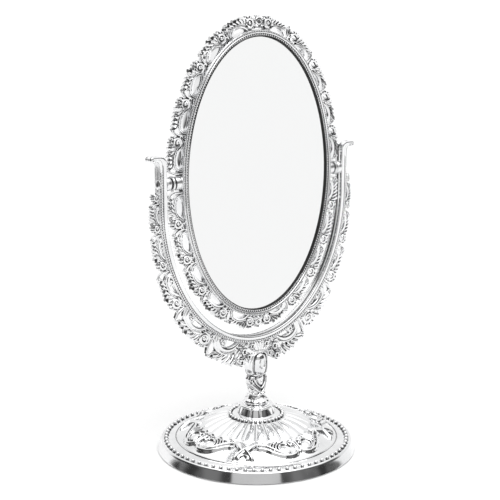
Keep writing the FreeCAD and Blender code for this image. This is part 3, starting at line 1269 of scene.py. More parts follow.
@dataclass
class MirrorHead:
    """The two halves of the oval frame: beaded bezel and pierced border, in millimetres."""

    opening_half_width: float
    opening_half_height: float
    pivot_z: float
    guide: float = 9.5
    first_coil: float = 7.9
    coil_step: float = 25.3
    coils: int = 5
    lip: float = 0.62
    glass_depth: float = 3.4
    face_depth: float = 5.45
    last_stretch: float = 0.99
    crown_scale: float = 1.35
    crown_out: float = 5.3
    bezel_steps: int = 72
    seal_steps: int = 60
    smooth_degrees: float = 50.0
    bead_rows: tuple[tuple[float, float, float, float], ...] = (
        (1.55, 4.45, 0.56, 1.75),
        (3.5, 4.72, 0.42, 1.45),
    )
    seal_section: Corners = (
        (0.0, 3.41), (0.0, 4.35), (0.08, 4.6), (0.25, 4.74), (0.45, 4.74), (0.66, 4.6),
        (0.66, 3.41),
    )

    @classmethod
    def from_frame(cls) -> "MirrorHead":
        """Sizes read from the seal that lines the opening and from the tilt joint.

        Returns:
            The head.
        """
        low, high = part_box("front_gasket")
        seal = 0.6
        pivot = frame["joints"][0]["pos_m"][2] / MM
        return cls(high.x / MM - seal, (high.z - low.z) / 2 / MM - seal, pivot)

    def track(self, guide: float) -> Track:
        """Quarter line of the opening."""
        return Track.oval(self.opening_half_width, self.opening_half_height, guide)

    def profile(self) -> list[tuple[float, float]]:
        """Closed moulding section: distance outside the opening and depth towards the viewer.

        Returns:
            The corners.
        """
        face = self.face_depth
        return [
            (self.lip, self.glass_depth), (self.lip, 4.6), (0.72, 4.78), (0.92, 4.7), (1.0, 4.1),
            (2.1, 4.1), (2.2, 4.8), (2.35, 5.2), (2.6, face), (2.85, face), (3.05, 5.2), (3.1, 4.5),
            (3.9, 4.5), (4.0, 4.95), (4.25, 4.95), (4.5, 4.5), (4.62, 3.9), (4.62, 0.0), (2.9, 0.0),
            (2.9, self.glass_depth),
        ]

    def swept(self, name: str, section: Corners, steps: int) -> bpy.types.Object:
        """Section swept round the opening.

        Args:
            name: Name of the mesh.
            section: Distance outside the opening and depth towards the viewer of each corner.
            steps: Faces along one quarter.

        Returns:
            The closed mesh, in millimetres.
        """
        track = self.track(0.0)

        def place(uv: np.ndarray) -> np.ndarray:
            """Skin of the moulding, the same in each quarter.

            Args:
                uv: Shares along the grid's two sides, from 0 to 1.

            Returns:
                Points in millimetres.
            """
            turn = uv[:, 0] * 4.0
            part = turn % 2.0
            fold = np.where(part > 1.0, 2.0 - part, part)
            out, depth = crossed(section, uv[:, 1])
            x, z = track.at(fold * track.quarter, out)
            x = np.where(fold < 1e-6, 0.0, x)
            side = np.where(turn < 2.0, 1.0, -1.0)
            up = np.where((turn > 1.0) & (turn < 3.0), -1.0, 1.0)
            return xyz(side * x, -depth, self.pivot_z + up * z)

        return Bench.sheet(name, 4 * steps, len(section), place, 0.02)

    def beads(self, out: float, depth: float, radius: float, pitch: float) -> bpy.types.Object:
        """Row of beads round the opening.

        Args:
            out: Distance of the row outside the opening.
            depth: Height of the beads' middles over the mirror's plane.
            radius: Radius of a bead.
            pitch: Distance from one bead to the next.

        Returns:
            The beads, in millimetres.
        """
        track = self.track(out)
        row = track.paced(track.quarter, int(round(track.quarter / pitch)), out)
        middles = [
            (side * x, -depth, self.pivot_z + up * z)
            for side, up, (x, z) in product(BOTH_WAYS, BOTH_WAYS, row)
        ]
        return Bench.beads("bead_row", radius, middles)

    def border(self, name: str) -> bpy.types.Object:
        """Pierced scrollwork in four mirrored quarters, with a blossom above and below.

        Args:
            name: Name of the mesh.

        Returns:
            The border, in millimetres.
        """
        unit = ScrollUnit()
        track = self.track(self.guide)
        repeat = unit.make("repeat")
        blossom = Blossom().make("blossom", unit.back)
        spots = [Spot(self.first_coil + self.coil_step * index) for index in range(self.coils - 1)]
        spots.append(Spot(self.first_coil + self.coil_step * (self.coils - 1), self.last_stretch))
        quarters = [
            laid(track, spot, side, up, self.pivot_z, unit.edge, unit.edge, unit.back)
            for up, side, spot in product(BOTH_WAYS, BOTH_WAYS, spots)
        ]
        crown = Spot(0.0, self.crown_scale, self.crown_scale)
        crown_edge = unit.edge + self.crown_out
        crowns = [
            laid(track, crown, 1, up, self.pivot_z, crown_edge, 0.0, unit.back)
            for up in BOTH_WAYS
        ]
        parts = [
            Bench.copies("quarters", repeat, quarters), Bench.copies("crowns", blossom, crowns)
        ]
        Bench.drop(repeat, blossom)
        return Bench.join(name, parts)

    def make(self, finishes: Finishes) -> list[bpy.types.Object]:
        """Builds and dresses both halves.

        Args:
            finishes: The object's finishes.

        Returns:
            The finished pieces.
        """
        made = []
        for facing in Facing:
            word = facing.name.lower()
            moulding = [self.swept("bezel", self.profile(), self.bezel_steps)]
            moulding += [self.beads(*row) for row in self.bead_rows]
            rows = (
                (Bench.join(word + "_bezel", moulding), "_frame", "plated_casting"),
                (self.border(word + "_border"), "_frame", "plated_casting"),
                (
                    self.swept(word + "_seal", self.seal_section, self.seal_steps),
                    "_gasket",
                    "gasket_black",
                ),
            )
            for piece, node, slot in rows:
                Bench.faced(piece, facing)
                row = (piece, Body.MIRROR, word + node, finishes, slot)
                made.append(hand_over(*row, self.smooth_degrees))
        return made



# --------------------------------------------------------------------------- yoke


@dataclass
class Yoke:
    """U-shaped yoke in two halves, with flared tips, fluted sides, a bead line and scrollwork."""

    half_width: float
    top_z: float
    reach: float
    drop: float = 97.5
    bowl_z: float = 180.0
    band: float = 5.0
    depth: float = 4.0
    flare_start_z: float = 199.0
    roll: float = 1.9
    bead_radius: float = 0.74
    bead_pitch: float = 1.66
    bead_depth: float = 3.35
    scroll_guide: float = 5.0
    scroll_edge: float = -0.2
    scroll_starts: tuple[float, ...] = (15.0, 49.0, 84.5, 113.5, 138.5, 158.5)
    scroll_spreads: tuple[float, ...] = (1.72, 1.32, 1.05, 0.8, 0.66, 0.55)
    smooth_degrees: float = 50.0

    @classmethod
    def from_frame(cls) -> "Yoke":
        """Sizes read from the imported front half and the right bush.

        Returns:
            The yoke.
        """
        half_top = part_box("yoke_front_half")[1]
        bush_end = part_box("pivot_bush_right")[1]
        return cls(bush_end.x / MM, half_top.z / MM, half_top.x / MM)

    def profile(self) -> list[tuple[float, float]]:
        """Closed section of one half: share of the band's width and depth from the parting plane.

        Returns:
            The corners.
        """
        return [
            (0.05, 0.0), (0.0, 0.12), (0.0, 0.55), (0.14, 0.95), (0.16, 1.9), (0.12, 2.7),
            (0.0, 3.05), (0.0, 3.4), (0.04, 3.75), (0.14, 3.98), (0.3, 4.0), (0.45, 3.95),
            (0.54, 3.75), (0.58, 3.35), (0.6, 3.0), (0.93, 3.0), (0.95, 3.25), (0.98, 3.34),
            (1.0, 3.3), (1.0, 3.0), (0.9, 2.75), (0.9, 2.05), (1.0, 1.8), (1.0, 1.5), (0.9, 1.25),
            (0.9, 0.55), (1.0, 0.3), (0.98, 0.0),
        ]

    def edges(self) -> tuple[Corners, Corners]:
        """Matching points of the right arm's two edges, from the lowest point to the tip.

        Returns:
            Inner and outer edge.
        """
        inner: list[tuple[float, float]] = []
        outer: list[tuple[float, float]] = []
        straight = [
            self.bowl_z + (self.flare_start_z - self.bowl_z) * share
            for share in (0.25, 0.5, 0.75, 1.0)
        ]
        for edge, extra in ((inner, 0.0), (outer, self.band)):
            width = self.half_width + extra
            for index in range(60):
                angle = math.pi / 2 * index / 59
                edge.append(
                    (width * math.sin(angle), self.bowl_z - (self.drop + extra) * math.cos(angle))
                )
            edge += [(width, z) for z in straight]
        bend = (
            (0.0, 11.0), (0.0, 8.0), (0.0, 5.4), (0.2, 3.4), (0.8, 1.7), (2.0, 0.6), (3.8, 0.1),
            (7.0, 0.0), (10.0, 0.0),
        )
        sweep = (
            (5.0, 11.5), (5.0, 9.2), (5.1, 7.2), (5.3, 5.6), (5.7, 4.5), (6.5, 3.7), (7.6, 3.3),
            (9.0, 3.2), (10.2, 3.2),
        )
        inner += [(self.half_width + x, self.top_z - z) for x, z in bend]
        outer += [(self.half_width + x, self.top_z - z) for x, z in sweep]
        return inner, outer

    def arm(self, side: int) -> bpy.types.Object:
        """Half of the U with its fluted and beaded section, from the lowest point to one tip.

        Args:
            side: -1 for the left, 1 for the right.

        Returns:
            The mesh, in millimetres.
        """
        inner, outer = self.edges()
        profile = self.profile()

        def place(uv: np.ndarray) -> np.ndarray:
            """Skin between the arm's two edges.

            Args:
                uv: Shares along the grid's two sides, from 0 to 1.

            Returns:
                Points in millimetres.
            """
            share, depth = crossed(profile, uv[:, 1])
            near = np.stack(between(inner, uv[:, 0]), 1)
            far = np.stack(between(outer, uv[:, 0]), 1)
            flat = near + (far - near) * share[:, None]
            return xyz(side * flat[:, 0], -depth, flat[:, 1])

        return Bench.sheet("arm", len(inner) - 1, len(profile), place)

    def tip_roll(self, side: int) -> bpy.types.Object:
        """Little roll that ends the tip, turned about the depth axis.

        Args:
            side: -1 for the left, 1 for the right.

        Returns:
            The mesh, in millimetres.
        """
        shares = (
            (0.0, 0.0), (0.75, 0.0), (0.75, 0.08), (1.0, 0.16), (1.0, 0.5), (0.72, 0.56),
            (0.72, 0.64), (1.0, 0.7), (1.0, 0.88), (0.85, 0.96), (0.5, 1.0), (0.3, 0.93),
            (0.0, 0.92),
        )
        outline = [(self.roll * radius, self.depth * height) for radius, height in shares]
        middle_x = self.reach - self.roll
        middle_z = self.top_z - self.roll

        def place(co: np.ndarray) -> np.ndarray:
            """The roll laid along the depth axis at the tip."""
            return xyz(side * (middle_x + co[:, 0]), -co[:, 2], middle_z + co[:, 1])

        return Bench.shape(Bench.turned("roll", outline, 20), place)

    def bead_line(self) -> bpy.types.Object:
        """Beads along the front of both arms.

        Returns:
            The mesh, in millimetres.
        """
        out = self.band * 0.77
        track = Track.bowl(self.half_width, self.drop, self.flare_start_z + 4.0 - self.bowl_z, out)
        total = float(track.length[-1])
        line = track.paced(total, int(total / self.bead_pitch), out)
        middles = [
            (side * x, -self.bead_depth, self.bowl_z + z)
            for side, (x, z) in product(BOTH_WAYS, line)
        ]
        return Bench.beads("bead_line", self.bead_radius, middles)

    def scrollwork(self, name: str) -> bpy.types.Object:
        """Scrollwork outside both arms, larger towards the stem, with blossoms at the root.

        Args:
            name: Name of the mesh.

        Returns:
            The scrollwork, in millimetres.
        """
        unit = ScrollUnit()
        track = Track.bowl(
            self.half_width + self.band, self.drop + self.band, 14.0, self.scroll_guide
        )
        repeat = unit.make("repeat", curled=True)
        coil_only = unit.make("last", False)
        blossom = Blossom().make("blossom", unit.back)

        def follow(spot: Spot, side: int) -> Place:
            """Formula that lays one repeat along an arm."""
            return laid(track, spot, side, 1, self.bowl_z, self.scroll_edge, unit.edge, unit.back)

        def bloom(x: float, z: float, scale: float) -> Place:
            """Formula that sets one blossom at the root."""
            return lambda co: xyz(
                x + co[:, 0] * scale, -(co[:, 2] * scale + unit.back) * 1.6, z + co[:, 1] * scale
            )

        runs = [
            follow(Spot(start, (end - start) / unit.pitch, spread, 0.9), side)
            for side in BOTH_WAYS
            for start, end, spread in zip(
                self.scroll_starts, self.scroll_starts[1:], self.scroll_spreads
            )
        ]
        ends = [
            follow(Spot(self.scroll_starts[-1], 0.75, self.scroll_spreads[-1], 0.8), side)
            for side in BOTH_WAYS
        ]
        root = ((13.4, 73.0, 1.12), (15.6, 65.6, 1.05), (6.2, 75.8, 0.92), (8.9, 68.6, 0.88))
        blooms = [bloom(side * x, z, scale) for side, (x, z, scale) in product(BOTH_WAYS, root)]
        rows = ((repeat, "runs", runs), (coil_only, "ends", ends), (blossom, "blossoms", blooms))
        parts = [Bench.copies(label, seed, places) for seed, label, places in rows]
        Bench.drop(repeat, coil_only, blossom)
        return Bench.join(name, parts)

    def root(self) -> bpy.types.Object:
        """Cushion-shaped block under the bowl, which the stem's insert sits in.

        Returns:
            The mesh, in millimetres.
        """
        middle = self.bowl_z - self.drop - self.band - 4.6

        def place(uv: np.ndarray) -> np.ndarray:
            """Dome of the block, square round the edge and thinner beside the stem.

            Args:
                uv: Shares along the grid's two sides, from 0 to 1.

            Returns:
                Points in millimetres.
            """
            angle = uv[:, 0] * math.tau
            reach = np.sin(uv[:, 1] * math.pi / 2)
            square = (np.abs(np.cos(angle)) ** 4 + np.abs(np.sin(angle)) ** 4) ** -0.25
            x = 13.0 * reach * square * np.cos(angle)
            z = middle + 7.4 * reach * square * np.sin(angle)
            cover = np.interp(np.abs(x), (3.7, 4.6), (3.95, 2.4))
            depth = cover * np.clip(1.0 - reach**9, 0.0, 1.0) ** 0.5
            return xyz(x, -depth, z)

        return Bench.cap(Bench.sheet("root", 64, 24, place))

    def root_curls(self) -> bpy.types.Object:
        """Curls and a small palm leaf on the face of the root block.

        Returns:
            The mesh, in millimetres.
        """
        half = [
            rod([(0.6, 71.8), (2.6, 71.4), (4.6, 72.0), (5.4, 73.6)], (0.7, 1.0, 0.9, 0.5)),
            finger((0.7, 72.8), (2.3, 78.4), 0.7, 1.0, 0.3),
            finger((11.2, 76.6), (9.6, 79.4), 0.5, 0.9, 0.2),
            finger((12.2, 68.4), (11.0, 65.8), 0.5, 0.9, 0.0),
            rod([(17.6, 70.2), (19.4, 68.6), (19.6, 66.6), (18.4, 65.8)], (0.6, 0.9, 0.8, 0.5)),
        ]
        mirrored = [
            Stroke(tuple((-x, y, z) for x, y, z in stroke.points), stroke.radii)
            for stroke in half
        ]
        vein = finger((0.0, 72.0), (0.0, 79.4), 0.8, 1.1, 0.5)
        curls = Bench.rods("root_curls", [*half, *mirrored, vein], 2, 3)
        depth = 3.7
        return Bench.shape(
            curls, lambda co: xyz(co[:, 0], -np.maximum(co[:, 2] + depth, 0.0), co[:, 1])
        )

    def make(self, finishes: Finishes) -> list[bpy.types.Object]:
        """Builds and dresses both halves.

        Args:
            finishes: The object's finishes.

        Returns:
            The finished pieces.
        """
        made = []
        for facing in Facing:
            word = "yoke_" + facing.name.lower()
            arms = Bench.close(Bench.join("arms", [self.arm(side.value) for side in Side]), 0.01)
            band = [self.root(), self.root_curls(), Bench.cap(arms)]
            band += [self.tip_roll(side.value) for side in Side]
            band.append(self.bead_line())
            for piece in (Bench.join(word + "_band", band), self.scrollwork(word + "_scrolls")):
                Bench.faced(piece, facing)
                row = (piece, Body.STAND, word + "_half", finishes, "plated_casting")
                made.append(hand_over(*row, self.smooth_degrees))
        return made



# --------------------------------------------------------------------------- foot


@dataclass
class Foot:
    """Domed foot with a bead rim, scroll relief, flutes and an inner bead ring."""

    radius: float
    low_z: float
    top_z: float
    flutes: int = 25
    flute_phase: float = -39.5
    rim_beads: int = 72
    ring_beads: int = 36
    motif_azimuth: float = -47.5
    relief_out: float = 56.4
    relief_in: float = 39.0
    relief_lift: float = 0.12
    wall: float = 1.7
    relief_middle: float = 47.0
    relief_columns: int = 1000
    relief_rows: int = 66
    smooth_degrees: float = 42.0

    @classmethod
    def from_frame(cls) -> "Foot":
        """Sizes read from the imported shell."""
        low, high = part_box("base_shell")
        return cls(high.x / MM, low.z / MM, high.z / MM)

    def outline(self) -> list[tuple[float, float]]:
        """Radius and height of the outer skin from the rim's lowest edge to the bolt hole.

        Returns:
            The corners.
        """
        rim = ((0.15, 0.0), (0.0, 0.25), (0.12, 0.6), (0.3, 1.1))
        side = (
            (1.2, 3.8), (2.0, 6.2), (2.2, 6.8), (2.45, 7.3), (2.8, 7.65), (3.4, 7.85), (4.1, 7.85)
        )
        skin = [(self.radius - inset, self.low_z + rise) for inset, rise in rim]
        skin += [(self.radius - inset, z) for inset, z in side]
        skin += [(65.3, 7.45), (62.9, 7.45), (62.4, 7.75), (61.8, 7.95), (59.8, 8.3), (58.0, 8.7)]
        skin += [(57.6, 8.65), (57.3, 8.2), (57.0, 8.25), (56.7, 8.9)]
        domes = ((0, 56.4, 16.6, 9.1, 7.3, 0.8), (1, 39.8, 19.2, 16.4, 7.7, 0.9))
        for first, start, run, z, climb, crown in domes:
            for share in (index / 24 for index in range(first, 25)):
                skin.append(
                    (start - run * share, z + climb * share + crown * math.sin(math.pi * share))
                )
        skin += [(20.3, 24.1), (19.6, 24.15), (17.6, 24.25), (17.2, 24.6), (16.8, 25.0)]
        return [*skin, (16.0, self.top_z), (2.8, self.top_z)]

    def height(self, radius: np.ndarray) -> np.ndarray:
        """Height of the outer skin at a radius."""
        skin = np.array(self.outline()[::-1])
        return np.interp(radius, skin[:, 0], skin[:, 1])

    def flute(self, radius: np.ndarray, azimuth: np.ndarray) -> np.ndarray:
        """Height that the flutes add: round petals with sharp valleys between them.

        Args:
            radius: Distances from the axis.
            azimuth: Angles from the front.

        Returns:
            Heights in millimetres.
        """
        pitch = math.tau / self.flutes
        phase = (azimuth - math.radians(self.flute_phase)) / pitch
        across = np.abs(phase - np.round(phase)) * 2.0
        crown = np.sqrt(np.clip(1.0 - (1.0 - across) ** 2.4, 0.0, 1.0))
        start = np.clip((radius - 20.4) / 1.6, 0.0, 1.0)
        limit = 38.9 - 2.2 * (1.0 - across) ** 2
        stop = np.clip((limit + 0.9 - radius) / 0.9, 0.0, 1.0)
        inside = start * stop
        return inside * (crown * 1.25 - 0.5) * np.interp(radius, (20.0, 39.0), (0.8, 1.5))

    def shell(self) -> bpy.types.Object:
        """Outer skin with flutes, turned in to a plain inner skin.

        Returns:
            The mesh, in millimetres.
        """
        skin = self.outline()
        inner = [
            (2.8, self.top_z - 3.4), (17.0, self.top_z - 3.4), (20.5, 22.0), (30.0, 18.8),
            (39.5, 14.3), (48.0, 10.9), (56.0, 7.0), (62.0, 5.9), (self.radius - 4.4, 5.6),
            (self.radius - self.wall, self.low_z),
        ]
        loop = [*skin, *inner]
        outer_end = np.linspace(0.0, 1.0, len(loop) + 1)[len(skin) - 1]

        def place(uv: np.ndarray) -> np.ndarray:
            """Both skins of the foot, with the flutes on the outer one.

            Args:
                uv: Shares along the grid's two sides, from 0 to 1.

            Returns:
                Points in millimetres.
            """
            radius, height = crossed(loop, uv[:, 1])
            azimuth = uv[:, 0] * math.tau
            raised = np.where(uv[:, 1] <= outer_end, self.flute(radius, azimuth), 0.0)
            return round_z(radius, azimuth, height + raised)

        return Bench.sheet("skin", self.flutes * 20, len(loop), place)

    def bead_ring(self, count: int, radius: float, height: float, bead: float) -> bpy.types.Object:
        """Ring of beads standing on the foot.

        Args:
            count: Number of beads.
            radius: Radius of the ring.
            height: Height of the beads' middles.
            bead: Radius of a bead.

        Returns:
            The ring, in millimetres.
        """
        azimuths = [
            math.radians(self.flute_phase) + math.tau * index / count
            for index in range(count)
        ]
        middles = [
            (radius * math.sin(azimuth), -radius * math.cos(azimuth), height)
            for azimuth in azimuths
        ]
        return Bench.beads("ring", bead, middles, 12, 8)

    def ridges(self) -> list[Ridge]:
        """Half of one motif: crossed straps, a double band, a scroll with its eye and feathers.

        x is millimetres round the ring from the motif's centre, and y is the radius.

        Returns:
            The ridges.
        """
        strap_low = Ridge(
            ((0.0, 47.8), (2.2, 45.8), (4.9, 42.8), (8.0, 40.4)), (2.2, 2.4, 2.4, 2.1),
            (2.3, 2.3, 2.1, 1.2), 0.25,
        )
        strap_high = Ridge(
            ((-1.5, 46.8), (1.8, 49.4), (4.0, 51.9), (5.6, 54.2)), (1.9, 1.7, 1.5, 0.9),
            (2.0, 2.2, 2.0, 1.2), 0.25,
        )
        fold = Ridge(
            ((-2.6, 45.6), (0.8, 48.6), (3.2, 51.2), (5.2, 54.2)), (0.8, 1.0, 1.0, 0.8),
            (2.6, 3.0, 2.9, 2.1),
        )
        tuck = Ridge(((2.8, 54.0), (2.4, 52.4), (0.6, 50.8)), (0.9, 1.0, 0.8), (1.6, 1.6, 1.0))
        hem = Ridge(
            ((9.4, 41.6), (8.2, 39.9), (5.2, 39.7), (2.6, 41.2), (0.0, 42.4)),
            (0.5, 0.6, 0.65, 0.6, 0.5), (1.0, 1.1, 1.1, 1.0, 0.9),
        )
        band_out = Ridge(
            (
                (8.6, 44.9), (9.4, 46.2), (12.0, 46.5), (15.2, 47.8), (18.6, 50.0), (22.4, 52.2),
                (26.0, 53.4), (30.0, 53.8),
            ),
            (0.7, 0.9, 1.0, 1.0, 1.0, 1.0, 1.05, 1.1),
            (2.0, 2.2, 2.3, 2.3, 2.3, 2.3, 2.3, 2.2),
        )
        band_in = Ridge(
            (
                (8.6, 44.9), (8.9, 43.3), (11.6, 43.2), (15.2, 44.4), (18.8, 46.8), (22.6, 49.8),
                (26.4, 52.2), (29.6, 53.4),
            ),
            (0.7, 0.85, 0.9, 0.9, 0.9, 0.9, 0.8, 0.7),
            (2.0, 2.2, 2.3, 2.3, 2.3, 2.3, 2.2, 2.0),
        )
        scroll = Ridge(
            (
                (30.0, 53.8), (33.2, 53.0), (35.4, 50.8), (36.1, 47.6), (35.4, 44.2), (33.2, 42.6),
                (31.6, 44.2), (32.6, 46.2),
            ),
            (1.1, 1.1, 1.05, 1.0, 0.95, 0.9, 0.8, 0.7),
            (2.2, 2.2, 2.2, 2.2, 2.1, 2.0, 2.0, 1.9),
        )
        eye = Ridge(((33.6, 45.4), (33.7, 45.5)), (1.15, 1.15), (2.1, 2.1))
        disc = Ridge(((27.6, 47.2), (28.0, 47.2)), (3.5, 3.5), (0.9, 0.9), 0.7)
        found = [strap_low, strap_high, fold, tuck, hem, band_out, band_in, scroll, eye, disc]
        middle = (28.0, self.relief_middle)
        for radius, start, end in (
            (4.6, 40, 330), (6.6, 128, 262), (8.6, 150, 250), (10.6, 172, 238)
        ):
            turns = np.radians(np.linspace(start, end, 9))
            path = tuple(
                (middle[0] + radius * math.cos(t), middle[1] + radius * math.sin(t) * 0.9)
                for t in turns
            )
            taper = tuple(0.4 + 0.45 * math.sin(math.pi * index / 8) for index in range(9))
            found.append(Ridge(path, taper, tuple(2.1 * width for width in taper)))
        places = [9.6 + 27.6 * index / 24 for index in range(25)]
        scallop = tuple((x, 40.2 + 0.55 * math.cos(x * math.tau / 5.4)) for x in places)
        found.append(Ridge(scallop, (0.55,) * 25, (1.0,) * 25))
        found.append(Ridge(((36.9, 50.8), (36.9, 51.4)), (0.9, 0.8), (1.3, 1.3)))
        found.append(Ridge(((36.9, 41.9), (36.9, 42.8)), (0.8, 0.8), (1.2, 1.2)))
        return found

    def relief(self, name: str) -> bpy.types.Object:
        """Four mirrored motifs embossed on a band that lies on the dome and closes under it.

        Args:
            name: Name of the mesh.

        Returns:
            The mesh, in millimetres.
        """
        quarter = math.tau / 4
        ridges = self.ridges()
        ridges += [
            Ridge(tuple((-x, y) for x, y in r.points), r.half_widths, r.heights, r.flatness)
            for r in ridges
        ]
        size = (0.0, self.relief_middle * quarter / 2, self.relief_in, self.relief_out)
        emboss = Emboss(size, ridges)
        rows = self.relief_rows + 4
        buried = 2.0 / rows

        def place(uv: np.ndarray) -> np.ndarray:
            """Relief along the band's width, with its two end rows sunk in the dome.

            Args:
                uv: Shares along the grid's two sides, from 0 to 1.

            Returns:
                Points in millimetres.
            """
            azimuth = uv[:, 0] * math.tau
            turned = azimuth - math.radians(self.motif_azimuth)
            offset = np.abs(turned - quarter * np.round(turned / quarter)) * self.relief_middle
            share = np.clip((uv[:, 1] - buried) / (1.0 - 2.0 * buried), 0.0, 1.0)
            share = np.where(uv[:, 1] > 1.0 - buried * 0.25, 0.0, share)
            under = (uv[:, 1] < buried * 0.75) | (uv[:, 1] > 1.0 - buried * 0.75)
            radius = self.relief_out + (self.relief_in - self.relief_out) * share
            sunk = np.where(under, -0.8, self.relief_lift)
            raised = np.where(under, 0.0, emboss.at(offset, radius))
            return round_z(radius, azimuth, self.height(radius) + sunk + raised)

        return Bench.sheet(name, self.relief_columns, rows, place)

    def make(self, finishes: Finishes) -> list[bpy.types.Object]:
        """Builds and dresses the foot.

        Args:
            finishes: The object's finishes.

        Returns:
            The finished pieces.
        """
        parts = [self.shell()]
        parts.append(self.bead_ring(self.rim_beads, 64.1, 8.3, 1.22))
        parts.append(self.bead_ring(self.ring_beads, 18.7, 24.95, 1.1))
        pieces = (Bench.join("foot_dome", parts), self.relief("foot_relief"))
        return [
            hand_over(
                piece, Body.STAND, "base_shell", finishes, "plated_shell", self.smooth_degrees
            )
            for piece in pieces
        ]



# --------------------------------------------------------------------------- collar and stem


@dataclass
class Stem:
    """Lobed collar and knotted stem with a cartouche front and back."""

    collar_radius: float
    collar_low: float
    collar_top: float
    stem_top: float
    lobe_turn: float = 5.0
    flatness: float = 0.55
    wide_lobe: float = 28.5
    smooth_degrees: float = 45.0

    @classmethod
    def from_frame(cls) -> "Stem":
        """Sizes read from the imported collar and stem."""
        low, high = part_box("base_collar")
        return cls(high.x / MM, low.z / MM, high.z / MM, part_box("stem")[1].z / MM)

    def collar(self, name: str) -> bpy.types.Object:
        """Eight-lobed collar: wide lobes on the axes, narrow ones between them, and a dished top.

        Args:
            name: Name of the mesh.

        Returns:
            The mesh, in millimetres.
        """
        side = (
            (0.22, 0.0), (1.06, 0.0), (1.055, 0.3), (1.045, 0.6), (1.038, 0.85), (0.948, 4.8),
            (0.942, 5.1), (0.99, 5.25), (1.002, 5.5), (1.01, 5.9), (1.0, 6.4), (0.96, 6.8),
            (0.9, 7.0), (0.84, 6.7), (0.8, 6.6), (0.76, 7.0),
        )
        profile = [(share, self.collar_low + rise) for share, rise in side]
        profile += [
            (0.62, self.collar_top - 0.35), (0.5, self.collar_top - 0.1), (0.22, self.collar_top)
        ]

        def place(uv: np.ndarray) -> np.ndarray:
            """Skin of the collar, lobed outside and round at the bore.

            Args:
                uv: Shares along the grid's two sides, from 0 to 1.

            Returns:
                Points in millimetres.
            """
            share, height = crossed(profile, uv[:, 1])
            azimuth = uv[:, 0] * math.tau
            quarter = (azimuth - math.radians(self.lobe_turn)) / (math.tau / 4)
            offset = np.degrees(np.abs(quarter - np.round(quarter)) * math.tau / 4)
            wide = self.wide_lobe
            across = np.where(offset < wide, offset / wide, (45.0 - offset) / (45.0 - wide))
            chord = math.cos(math.radians(wide)) / np.cos(np.radians(np.minimum(offset, wide)))
            flat = np.where(offset < wide, self.flatness * (1.0 - chord), 0.0)
            lobe = self.collar_radius * (1.0 - flat) - 0.75 * across**5 - 0.2 * across**2
            reach = np.where(share > 0.6, lobe * share, self.collar_radius * share)
            return round_z(reach, azimuth, height)

        return Bench.sheet(name, 288, len(profile), place)

    def ridges(self) -> list[Ridge]:
        """Relief on half of a face: cartouche, shield, side curls and straps round the waist.

        Returns:
            The ridges.
        """
        return [
            Ridge(
                ((5.6, 55.4), (6.6, 58.0), (6.8, 62.0), (6.2, 66.2), (4.4, 69.4), (0.0, 71.0)),
                (0.7, 0.8, 0.85, 0.85, 0.8, 0.8), (1.5, 1.9, 2.0, 2.0, 2.0, 2.0),
            ),
            Ridge(((0.0, 58.6), (0.0, 61.0), (0.0, 65.2)), (5.0, 5.0, 4.7), (2.2, 2.5, 2.9), 0.4),
            Ridge(
                ((1.4, 66.2), (2.2, 63.0), (1.6, 60.2), (0.0, 59.2)), (0.35, 0.45, 0.45, 0.4),
                (3.3, 3.4, 3.1, 2.9),
            ),
            Ridge(((0.0, 54.0), (4.8, 54.2)), (0.8, 0.8), (1.5, 1.4)),
            Ridge(((6.8, 55.6), (6.9, 55.7)), (1.5, 1.5), (2.2, 2.2)),
            Ridge(
                ((5.9, 69.6), (7.4, 66.6), (8.3, 63.0), (8.2, 59.6), (7.2, 58.6), (6.6, 60.2)),
                (0.7, 1.0, 1.1, 1.0, 0.8, 0.6), (1.2, 1.7, 1.8, 1.8, 1.5, 1.2),
            ),
            Ridge(
                ((0.0, 44.6), (2.4, 46.6), (4.2, 49.6), (4.7, 52.8)), (0.7, 0.75, 0.8, 0.7),
                (1.5, 1.5, 1.5, 1.3),
            ),
            Ridge(((0.0, 48.4), (0.0, 51.6)), (2.2, 3.2), (0.9, 1.0), 0.6),
            Ridge(((0.0, 50.0), (0.05, 50.0)), (0.85, 0.85), (1.9, 1.9)),
            Ridge(
                ((5.6, 52.6), (7.4, 51.6), (7.9, 49.2), (6.8, 47.4), (5.4, 48.4), (6.2, 49.8)),
                (0.8, 1.1, 1.1, 1.0, 0.8, 0.7), (1.3, 1.9, 2.0, 1.8, 1.6, 1.5),
            ),
            Ridge(((5.8, 46.4), (3.2, 43.8), (0.0, 41.4)), (1.0, 1.15, 1.15), (1.3, 1.7, 1.8)),
            Ridge(((0.0, 41.4), (2.8, 39.2), (5.4, 37.4)), (1.15, 1.15, 1.0), (1.8, 1.7, 1.2)),
            Ridge(((0.0, 41.0), (0.05, 41.0)), (1.6, 1.6), (2.9, 2.9)),
            Ridge(((4.6, 43.6), (5.6, 41.6), (4.8, 39.8)), (0.6, 0.8, 0.6), (1.2, 1.4, 1.0)),
        ]

    def body(self, name: str) -> bpy.types.Object:
        """Cast stem that swells and narrows, with relief front and back and petals at its foot.

        Args:
            name: Name of the mesh.

        Returns:
            The mesh, in millimetres.
        """
        low = self.collar_top
        top = self.stem_top
        stops = np.array(
            (
                low,
                34.4,
                35.4,
                36.6,
                38.4,
                41.0,
                44.0,
                48.0,
                51.0,
                53.4,
                55.0,
                58.0,
                62.0,
                66.0,
                top - 1.0,
                top,
                top + 0.9,
            )
        )
        wide = np.array(
            (9.0, 9.2, 8.7, 7.4, 6.1, 5.5, 5.9, 7.4, 7.9, 6.7, 7.6, 8.7, 8.9, 8.7, 7.4, 6.2, 0.0)
        )
        deep = np.array(
            (9.0, 9.2, 8.7, 7.4, 6.1, 5.5, 5.2, 5.0, 4.8, 4.5, 4.5, 4.6, 4.6, 4.5, 4.3, 3.8, 0.0)
        )
        emboss = Emboss((0.0, 11.0, low, top + 2.0), self.ridges(), 0.12)

